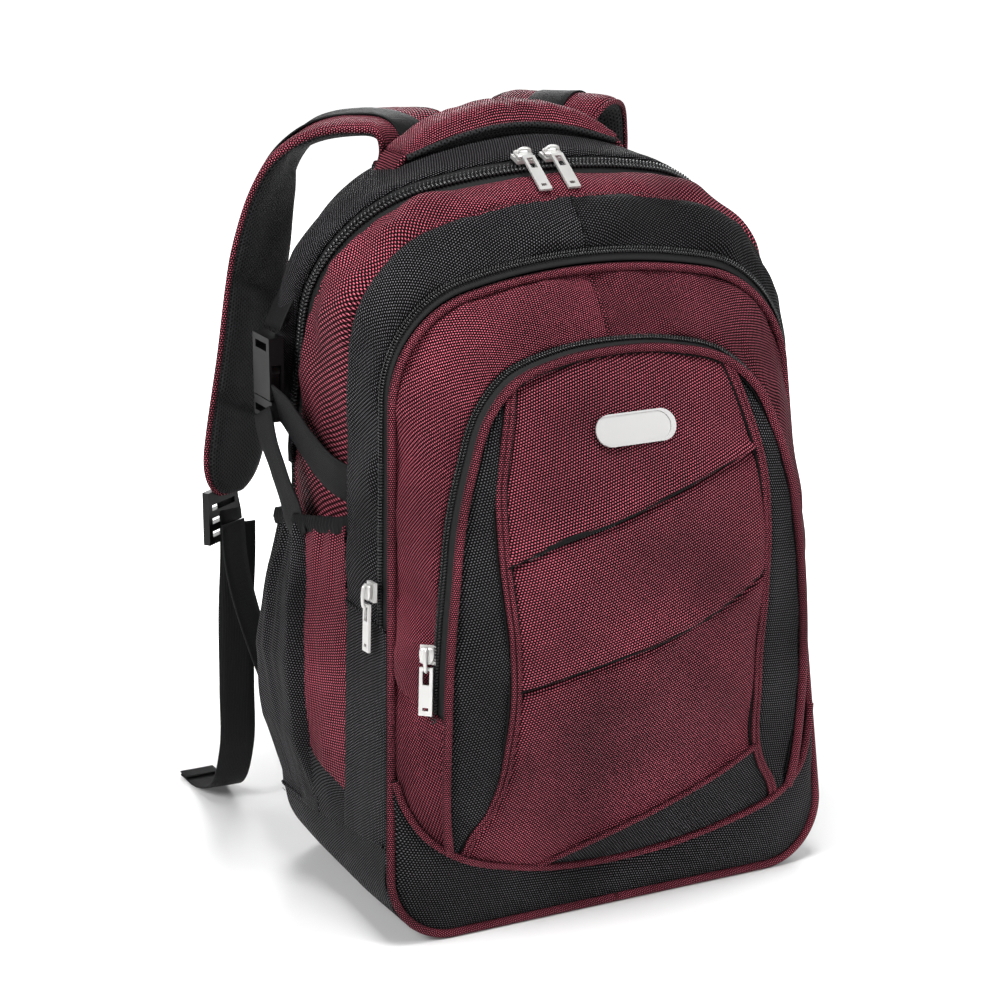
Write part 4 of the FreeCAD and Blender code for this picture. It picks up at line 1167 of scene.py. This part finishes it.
def compression_straps():
    """On each side: the strap from the front seam to the buckle, its free tail and its anchor."""
    for name, side in SIDES:
        s = np.array([side, 1, 1.0])
        path = np.array([(142.0, -26, 278), (148.6, -17, 281), (155.6, -6, 285), (160.6, 20, 296),
                         (162.2, 40, 306), (163.6, 56, 314), (165.2, 68, 318)]) * s
        across = np.array([(0.0, -0.28, 1.0), (0.0, -0.28, 1.0), (0.02, -0.32, 1.0),
                           (0.05, -0.42, 1.0), (0.08, -0.55, 1.0), (0.1, -0.75, 0.9),
                           (0.1, -0.95, 0.55)]) * s
        strap = webbing(f"side_strap_webbing_{name}", path, across, body=None,
                        replaces=[f"side_strap_{name}"], curl=-0.5)
        sewn(strap)
        tail = np.array([(169.8, 78, 309), (170.0, 71, 296), (168.6, 58, 277), (167.6, 43, 258),
                         (167.5, 32, 246), (167.2, 26, 238)]) * s
        across = np.array([(0.05, 0.98, 0.12), (0.05, 0.95, 0.2), (0.03, 0.9, 0.35),
                           (0.02, 0.85, 0.45), (0.02, 0.84, 0.5), (0.02, 0.84, 0.5)]) * s
        loose = webbing(f"side_tail_webbing_{name}", tail, across, body=None,
                        replaces=[f"side_tail_{name}"])
        sewn(loose)
        path = np.array([(160.6, 80, 362), (157.5, 80, 369), (152.8, 80, 378),
                         (146.6, 80.5, 388)]) * s
        webbing(f"side_anchor_webbing_{name}", path, (0, 1, 0),
                replaces=["side_strap_anchors"] if side < 0 else ())


def lower_straps():
    """Below each ladder lock: the leg sewn to the bag's lower corner, and the loose tail."""
    for name, side, lock in (("left", -1, (-173, 148, 223)), ("right", 1, (134, 150, 223))):
        lock = np.array(lock, float)
        start = lock + [-side * 6, -9, -27]
        corner = np.array([side * 139, 93, 74])
        path = [start + [side * 0.5, 2, 22], start,
                start + (corner - start) * 0.45 + [side * 3, 7, -6],
                start + (corner - start) * 0.86 + [side * 2, 4, -3], corner]
        leg = webbing(f"lower_webbing_strap_{name}", path, (0.86, -0.5 * side, 0.25 * side),
                      body=None, replaces=[f"lower_webbing_{name}"])
        sewn(leg)
        x, y = lock[0] - side * 13, lock[1] + 4
        route = [(x, y - 1, 214), (x, y, 196), (x + side * 1, y + 4, 150), (x, y + 9, 95),
                 (x - side * 2, y + 18, 46), (x - side * 1, y + 35, 14), (x, y + 62, 3.2),
                 (x, y + 92, 1.4)]
        loose = webbing(f"webbing_tail_strap_{name}", route, (1, 0.05 * side, 0), body=None,
                        replaces=[f"webbing_tail_{name}"])
        sewn(loose)
        hem = [(x, y + 80, 3.6), (x, y + 92.5, 3.4)]
        webbing(f"webbing_tail_hem_{name}", hem, (1, 0.05 * side, 0))


# ---------------------------------------------------------------- the shoulder straps

# x, y, z and the turn of the strap's face in degrees, from the yoke to the ladder lock
STRAP_ROUTES = {
    -1: [(-42, 106, 445, 0), (-46, 115, 467, 0), (-58, 124, 477, 38), (-76, 133, 479, 58),
         (-102, 141, 474, 60), (-122, 146, 456, 50), (-132, 148, 430, 40), (-139, 150, 397, 34),
         (-150, 150, 331, 34), (-160, 150, 275, 34), (-165, 150, 237, 34)],
    1: [(42, 106, 445, 0), (46, 117, 467, 0), (58, 126, 478, -30), (74, 135, 482, -42),
        (88, 145, 475, -38), (95, 151, 458, -35), (98, 155, 430, -30), (103, 157, 397, -25),
        (112, 156, 331, -25), (122, 154, 275, -25), (127.5, 152, 237, -25)],
}
STRAP_WIDTH, STRAP_THICK = 66.0, 11.0


def strap_frames(side, count):
    """Along a strap: its middle line, the direction of its width and its outer face."""
    route = np.array(STRAP_ROUTES[side], float)
    s = lengths(route[:, :3])
    line = smooth(route[:, :3], count)
    turn = np.radians(np.interp(lengths(line), s * lengths(line)[-1] / s[-1], route[:, 3]))
    kernel = np.hanning(max(5, count // 12) | 1)
    pad = len(kernel) // 2
    turn = np.convolve(np.pad(turn, pad, mode="edge"), kernel / kernel.sum(), mode="valid")
    run = unit(np.gradient(line, axis=0))
    across = np.stack([np.cos(turn), np.sin(turn), np.zeros(count)], 1)
    across = unit(across - run * np.sum(across * run, axis=1, keepdims=True))
    face = unit(np.cross(run, across))
    if np.sum(face * np.array([side * 0.3, 0.6, 0.8])) < 0:
        face = -face
    return line, across, face


def strap_cushion(side, count, rows, half_shape, quilts):
    """Half of a padded strap as a grid: its inner or its outer face, edge to edge."""
    line, across, face = strap_frames(side, count)
    s = lengths(line)
    a = np.linspace(-1, 1, rows)
    end = np.clip((s - (s[-1] - 34)) / 34, 0, 1)
    start = np.clip(1 - s / 30, 0, 1)
    half = STRAP_WIDTH / 2 * np.sqrt(np.clip(1 - 0.86 * end**2.4, 0.05, 1)) * (
        1 - 0.28 * start**2 + 0.10 * hill(s - 68, 25))
    body = (1 - np.abs(a) ** 5) ** 0.6
    thick = STRAP_THICK / 2 * (1 - 0.65 * start**1.5) * (1 - 0.35 * end**3)
    lift = half_shape * (thick * body[:, None] + 0.4)
    for at, depth in quilts:
        lift -= half_shape * depth * hill(s - at - 9 * a[:, None], 4.5) * (
            1 - np.abs(a[:, None]) ** 4)
    p = line + across * (a[:, None] * half)[..., None] + face * lift[..., None]
    wave = 0.7 * noise3(p, 26, 91 + side) * (1 - np.abs(a[:, None]) ** 6)
    return p + face[None] * (wave * half_shape)[..., None]


def closed_pad(name, inner, outer, materials, body, replaces, fill):
    """Two faces joined round their edges as one closed piece, each with its own cloth."""
    rows, cols = inner.shape[:2]
    count = rows * cols
    faces = grid_faces(rows, cols)
    other = [f[::-1] for f in grid_faces(rows, cols, start=count)]
    index = np.arange(count).reshape(rows, cols)
    loop = np.concatenate([index[0], index[1:, -1], index[-1, -2::-1], index[-2:0:-1, 0]])
    rim = [[int(a), int(b), int(b) + count, int(a) + count]
           for a, b in zip(loop, np.roll(loop, -1))]
    uvs = np.vstack([weave_uv(inner), weave_uv(outer)])
    points = np.vstack([inner.reshape(-1, 3), outer.reshape(-1, 3)])
    obj = add_mesh(name, points, faces + other + rim, uvs)
    fix_normals(obj)
    obj.data.materials.append(materials[0])
    finish_piece(obj, materials[1], body)
    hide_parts(*replaces)
    sides = np.arange(len(obj.data.polygons)) >= len(faces)
    obj.data.polygons.foreach_set("material_index", sides.astype(np.int32))
    return obj


def shoulder_straps():
    quilting = {-1: ((119, 2.6), (205, 2.4), (285, 3.0)), 1: ((113, 2.4), (199, 2.4), (273, 2.6))}
    for name, side in SIDES:
        inner = strap_cushion(side, 150, 25, -1, quilting[side])
        outer = strap_cushion(side, 150, 25, 1, ())
        pad = closed_pad(f"shoulder_strap_pad_{name}", inner, outer, [mesh_cloth, burgundy],
                         None, [f"shoulder_strap_{name}"], 0.55)
        line, across, face = strap_frames(side, 150)
        middle = (inner + outer) / 2
        rim = even(np.vstack([middle[0], middle[1:-1, -1], middle[-1, ::-1]]), 360)
        cord = tube(f"strap_edge_binding_{name}", rim, 1.9, burgundy, body=None)
        lift = STRAP_THICK / 2 + 1.2
        band = webbing(f"strap_band_webbing_{name}", (line + face * lift)[3::5], across[3::5],
                       body=None, replaces=[f"strap_band_{name}"])
        for obj in (pad, cord, band):
            sewn(obj)
        loop_at = line[-1]
        low = [loop_at + face[-1] * 4.5 + [0, 0, 10], loop_at + face[-1] * 3.0 + [0, 0, -4],
               loop_at + [0, 0, -16] + face[-1] * 0.5, loop_at + [0, 0, -22]]
        webbing(f"strap_end_loop_{name}", low, across[-1], width=25, body=f"strap_{name}")


# ---------------------------------------------------------------- the grab handle

def handle():
    half, top, foot, thick, width, depth = 88.0, 496.0, 466.0, 13.0, 33.0, 75.0
    radius = (half**2 + (top - foot) ** 2) / (2 * (top - foot)) - thick / 2
    centre = np.array([0, depth, top - thick / 2 - radius])
    reach = math.acos((foot + 1.0 - centre[2]) / radius)
    angle = np.linspace(-reach, reach, 130)
    line = centre + np.stack([np.sin(angle), np.zeros(130), np.cos(angle)], 1) * radius
    face = unit(line - centre)
    across = np.broadcast_to([0, 1.0, 0], line.shape)
    share = np.abs(angle) / reach
    grow = 1 - 0.42 * np.clip((share - 0.55) / 0.45, 0, 1) ** 1.4
    a = np.linspace(-1, 1, 21)
    body = (1 - np.abs(a) ** 3.2) ** 0.55
    cap = 1 - share**3
    rim = -6.5 * cap
    halves = []
    for way in (-1, 1):
        if way > 0:
            lift = rim + (thick / 2 * grow - rim) * ((1 - np.abs(a) ** 4) ** 0.42)[:, None]
        else:
            lift = rim - (0.3 + (5.5 + 4.5 * cap) * grow) * body[:, None]
        wave = noise1(line[:, 0], 9.0, 97 + way) * (0.25 + np.abs(a[:, None]) ** 1.5) * (
            1 - np.abs(a[:, None]) ** 6)
        pucker = 1.5 * hill(line[:, 0], 3.0) * (1 - np.abs(a[:, None]) ** 3)
        lift = lift + (wave - pucker) * (0.4 if way < 0 else 1.0)
        reach_out = a[:, None] * width / 2 * (1 - 0.12 * share**3)
        halves.append(line + across * reach_out[..., None] + face * lift[..., None])
    closed_pad("handle_pad", *halves, [mesh_cloth, burgundy], "handle", ["handle"], 0.7)
    for name, row in (("front", 0), ("rear", -1)):
        edge = (halves[0][row] + halves[1][row]) / 2 - face * 1.0
        tube(f"handle_binding_{name}", edge, 2.0, mesh_cloth, body="handle", sides=9)
    for name, side in SIDES:
        end = line[0] if side < 0 else line[-1]
        path = [end + [-side * 3, 0, 2], end + [side * 3.5, 0.2, -4.5], end + [side * 9, 0.5, -15]]
        webbing(f"handle_foot_{name}", path, (0, 1, 0), width=29, thick=4.0, material=burgundy,
                replaces=["handle_anchors"] if side < 0 else (), count=14)


# ---------------------------------------------------------------- the back

def back():
    outline = even(arch(dict(BACK, away=95), grow=-3.0), 260)[:-1]
    centre = np.array([0, 95, 215.0])
    f = np.linspace(0.002, 1, 26)[:, None, None]
    p = centre * (1 - f) + outline[None] * f
    p = np.concatenate([p, p[:, :1]], axis=1)
    quilt = 0.9 * np.abs(np.sin((p[..., 0] + p[..., 2]) / 17.0)) * np.abs(
        np.sin((p[..., 0] - p[..., 2]) / 17.0))
    p[..., 1] = 95 - 0.6 + 1.2 * (1 - f[..., 0] ** 4) + quilt * (1 - f[..., 0] ** 6)
    uvs = np.stack([p[..., 0], p[..., 2]], -1).reshape(-1, 2)
    cloth("back_panel_mesh", p, mesh_cloth, ["back_panel"], thick=2.0, uv=uvs,
          centre=np.array([0, 0, 215.0]))
    tube("back_panel_binding", outline + [0, 0.5, 0], 2.4, black, closed=True)
    spots = ((-112, -22, 160, 405), (22, 112, 160, 405), (-112, 112, 45, 148))
    for i, (left, right, low, high) in enumerate(spots):
        back_pad(f"back_pad_{i + 1}", left, right, low, high, ["back_pads"] if i == 0 else [])
    left, right = ([(x, 103.2, 416), (x, 103.2, 456)] for x in (-80, 80))
    low, high = ([(-80, 103.2, z), (80, 103.2, z)] for z in (416, 456))
    yoke = coons(left, right, low, high, 14, 60)
    yoke = crease(yoke, 103, soft=0.6, size=24, puff=1.0, centre=np.array([0, 0, 430.0]))
    cloth("strap_yoke_cloth", yoke, black, ["strap_yoke"], thick=5.0,
          centre=np.array([0, 0, 430.0]), turn=0)
    for z in (420.5, 451.5):
        row = np.array([(x, 104.4, z) for x in np.linspace(-76, 76, 40)])
        stitches(f"strap_yoke_stitches_{int(z)}", row, (0, 1, 0))


def back_pad(name, left, right, low, high, replaces):
    """A mesh pad: a crowned cushion with rounded corners and sewn channels across it."""
    rows, cols = 61, 33
    v, u = np.meshgrid(np.linspace(-1, 1, rows), np.linspace(-1, 1, cols), indexing="ij")
    half_x, half_z = (right - left) / 2, (high - low) / 2
    r = 18.0
    px, pz = u * half_x, v * half_z
    over_x, over_z = np.abs(px) - (half_x - r), np.abs(pz) - (half_z - r)
    corner = (over_x > 0) & (over_z > 0)
    dist = np.hypot(over_x, over_z)
    square = np.maximum(over_x, over_z)
    pull = np.where(corner, square / np.maximum(dist, 1e-6), 1.0)
    px = np.where(corner, np.sign(px) * (half_x - r + over_x * pull), px)
    pz = np.where(corner, np.sign(pz) * (half_z - r + over_z * pull), pz)
    inside = np.minimum(np.minimum(half_x - np.abs(px), half_z - np.abs(pz)), 16) / 16
    inside = np.where(corner, np.clip((r - np.where(corner, dist * pull, 0)) / 16, 0, 1), inside)
    crown = np.clip(inside, 0, 1) ** 0.45
    channel = np.exp(-((np.mod(pz + 1000, 49.0) - 24.5) ** 2) / 8.0) * np.clip(inside * 2, 0, 1)
    x, z = (left + right) / 2 + px, (low + high) / 2 + pz
    outer = np.stack([x, 95.8 + 8.2 * crown - 3.4 * channel * crown, z], -1)
    inner = np.stack([x, np.full_like(x, 95.4), z], -1)
    closed_pad(name, inner, outer, [black, mesh_cloth], "bag", replaces, 0.6)


# ---------------------------------------------------------------- hard parts

def dress(node, material, bevel=None):
    """A CAD node that keeps its shape: its material, and softened edges where it is moulded."""
    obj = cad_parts[node]
    obj.data.materials.clear()
    obj.data.materials.append(material)
    if bevel:
        soft = obj.modifiers.new("soft_edges", "BEVEL")
        soft.width = bevel * MM
        soft.segments = 2
        soft.limit_method = "ANGLE"


def hardware():
    for side in ("left", "right"):
        for node in (f"ladder_lock_{side}", f"buckle_socket_{side}", f"buckle_plug_{side}",
                     f"latch_{side}_front", f"latch_{side}_rear"):
            dress(node, plastic, 0.7)
        dress(f"main_slider_{side}", nickel, 0.8)
        dress(f"main_puller_{side}", nickel, 0.35)
    for name in ("middle", "pocket"):
        dress(f"{name}_slider", nickel, 0.8)
        dress(f"{name}_puller", nickel, 0.35)
    dress("logo_plate", plate_metal, 0.3)
    for node in ("divider", "laptop_sleeve"):
        dress(node, lining)
    for node in ("base_board", "back_board"):
        dress(node, board)


SLIDERS = {
    "main_slider_left": ((-14, 20, 468.2), (1, 0, 0), (0, -0.3, 0.95), 0),
    "main_slider_right": ((6, 20, 468.2), (-1, 0, 0), (0, -0.3, 0.95), 0),
    "middle_slider": ((-154.6, -51, 224), (-0.062, -0.071, -0.996), (-1, 0, 0), 5.5),
    "pocket_slider": ((-134, -88.4, 192), (-0.067, -0.077, -0.995), (-0.68, -0.73, 0), 5.5),
}


def slider_details():
    """The crowned cap of each slider's body and the bridge that its puller hangs from."""
    for name, (origin, run, face, reach) in SLIDERS.items():
        x, z = unit(np.array(run, float)), unit(np.array(face, float))
        y = np.cross(z, x)
        z = np.cross(x, y)
        angle = np.linspace(0, 2 * math.pi, 32, endpoint=False)
        c, s = np.cos(angle), np.sin(angle)
        outline = np.stack([(5.9 - 0.15 * reach) * np.sign(c) * np.abs(c) ** 0.6,
                            4.7 * np.sign(s) * np.abs(s) ** 0.6 * (1 - 0.14 * c)], 1)
        rings = [np.column_stack([outline * size, np.full(32, high)])
                 for size, high in ((1.0, 1.5), (1.0, 2.5), (0.93, 2.9), (0.6, 3.15), (0.05, 3.2))]
        shape = np.vstack(rings)
        faces = grid_faces(5, 32, closed=True) + [list(range(32))[::-1], list(range(128, 160))]
        place = (np.array(origin, float), x, y, z)
        copies(f"{name}_cap", shape, faces, [place], nickel, body=name)
        arch_line = np.array([(-4.4, 2.6), (-4.0, 4.4), (-2.2, 5.5), (0, 5.8), (2.2, 5.5),
                              (4.0, 4.4), (4.4, 2.6)])
        arch_line[:, 0] = arch_line[:, 0] * (1 + reach / 8.8) + reach / 2
        arch_line[:, 1] -= 0.045 * reach * (arch_line[:, 1] - 2.6)
        path = np.array(origin) + smooth(arch_line, 24) @ np.array([x, z])
        tube(f"{name}_bridge", path, 1.15, nickel, body=name, up=y)


# ---------------------------------------------------------------- floor, light and camera

FLOOR_REACH = 9000

# Each softbox's place and aim in metres, its width and height, and its power in watts
SOFTBOXES = {
    "left": ((-1.9, -0.5, 1.4), (0, 0, 0.25), (0.40, 1.1), 37),
    "right": ((1.35, -1.55, 1.4), (0, 0, 0.28), (0.4, 1.0), 20),
    "back": ((0.9, 1.9, 1.3), (0, 0, 0.25), (0.9, 1.2), 24),
    "top": ((-0.1, -0.4, 2.2), (0, 0, 0.3), (0.7, 0.6), 33),
}


def floor_and_light():
    pale, g, shader = new_material("pale_floor")
    g.link(g.scale((0.93, 0.93, 0.93), g.spread(g.noise(3, 2), 0.99, 1.01)),
           shader.inputs["Base Color"])
    shader.inputs["Roughness"].default_value = 0.6
    away = g.node("VectorMath", operation="LENGTH")
    g.link(g.place(), away.inputs[0])
    glow = g.mul(g.sub(away.outputs["Value"], 0.22), 1.7)
    seen = g.node("LightPath").outputs["Is Camera Ray"]
    shader.inputs["Emission Color"].default_value = (1, 1, 1, 1)
    glow = g.math("MINIMUM", g.math("MAXIMUM", glow, 0.0), 0.9)
    g.link(g.math("MULTIPLY", glow, g.spread(seen, 0.35, 1.0)), shader.inputs["Emission Strength"])
    size = FLOOR_REACH
    corners = [(-size, -size, 0), (size, -size, 0), (size, size, 0), (-size, size, 0)]
    floor = add_mesh("floor", corners, [[0, 1, 2, 3]])
    floor.data.materials.append(pale)

    world = bpy.data.worlds.new("studio")
    bpy.context.scene.world = world
    world.use_nodes = True
    tree = world.node_tree
    back = tree.nodes["Background"]
    back.inputs["Color"].default_value = (1, 1, 1, 1)
    path = tree.nodes.new("ShaderNodeLightPath")
    seen = Graph(tree).spread(path.outputs["Is Camera Ray"], 0.13, 1.0)
    tree.links.new(seen, back.inputs["Strength"])

    for name, (at, aim, size_m, power) in SOFTBOXES.items():
        light = bpy.data.lights.new(name, "AREA")
        light.shape = "RECTANGLE"
        light.size, light.size_y = size_m
        light.energy = power
        lamp = bpy.data.objects.new(name, light)
        lamp.location = at
        lamp.rotation_mode = "QUATERNION"
        lamp.rotation_quaternion = (Vector(at) - Vector(aim)).to_track_quat("Z", "Y")
        bpy.context.scene.collection.objects.link(lamp)


CAMERA_TURN, CAMERA_TILT, CAMERA_AWAY, CAMERA_LENS = 27.0, 16.5, 1.83, 100.8
CAMERA_AIM = Vector((-0.0199, 0.0398, 0.240))


def make_camera():
    turn, tilt = math.radians(CAMERA_TURN), math.radians(CAMERA_TILT)
    back = Vector((-math.sin(turn) * math.cos(tilt), -math.cos(turn) * math.cos(tilt),
                   math.sin(tilt)))
    data = bpy.data.cameras.new("camera")
    data.sensor_width = 36
    data.lens = CAMERA_LENS
    data.clip_end = 50
    camera = bpy.data.objects.new("camera", data)
    camera.location = CAMERA_AIM + back * CAMERA_AWAY
    camera.rotation_mode = "QUATERNION"
    camera.rotation_quaternion = back.to_track_quat("Z", "Y")
    bpy.context.scene.collection.objects.link(camera)
    bpy.context.scene.camera = camera


bpy.context.scene.view_settings.view_transform = "Standard"
make_camera()
floor_and_light()
rear_gusset_and_main_shell()
main_zip()
front_gusset()
middle_zip()
boot()
middle_piping()
pocket_face()
middle_face()
pocket_zip()
bottom_band()
bottle_pockets()
compression_straps()
lower_straps()
shoulder_straps()
handle()
back()
hardware()
slider_details()
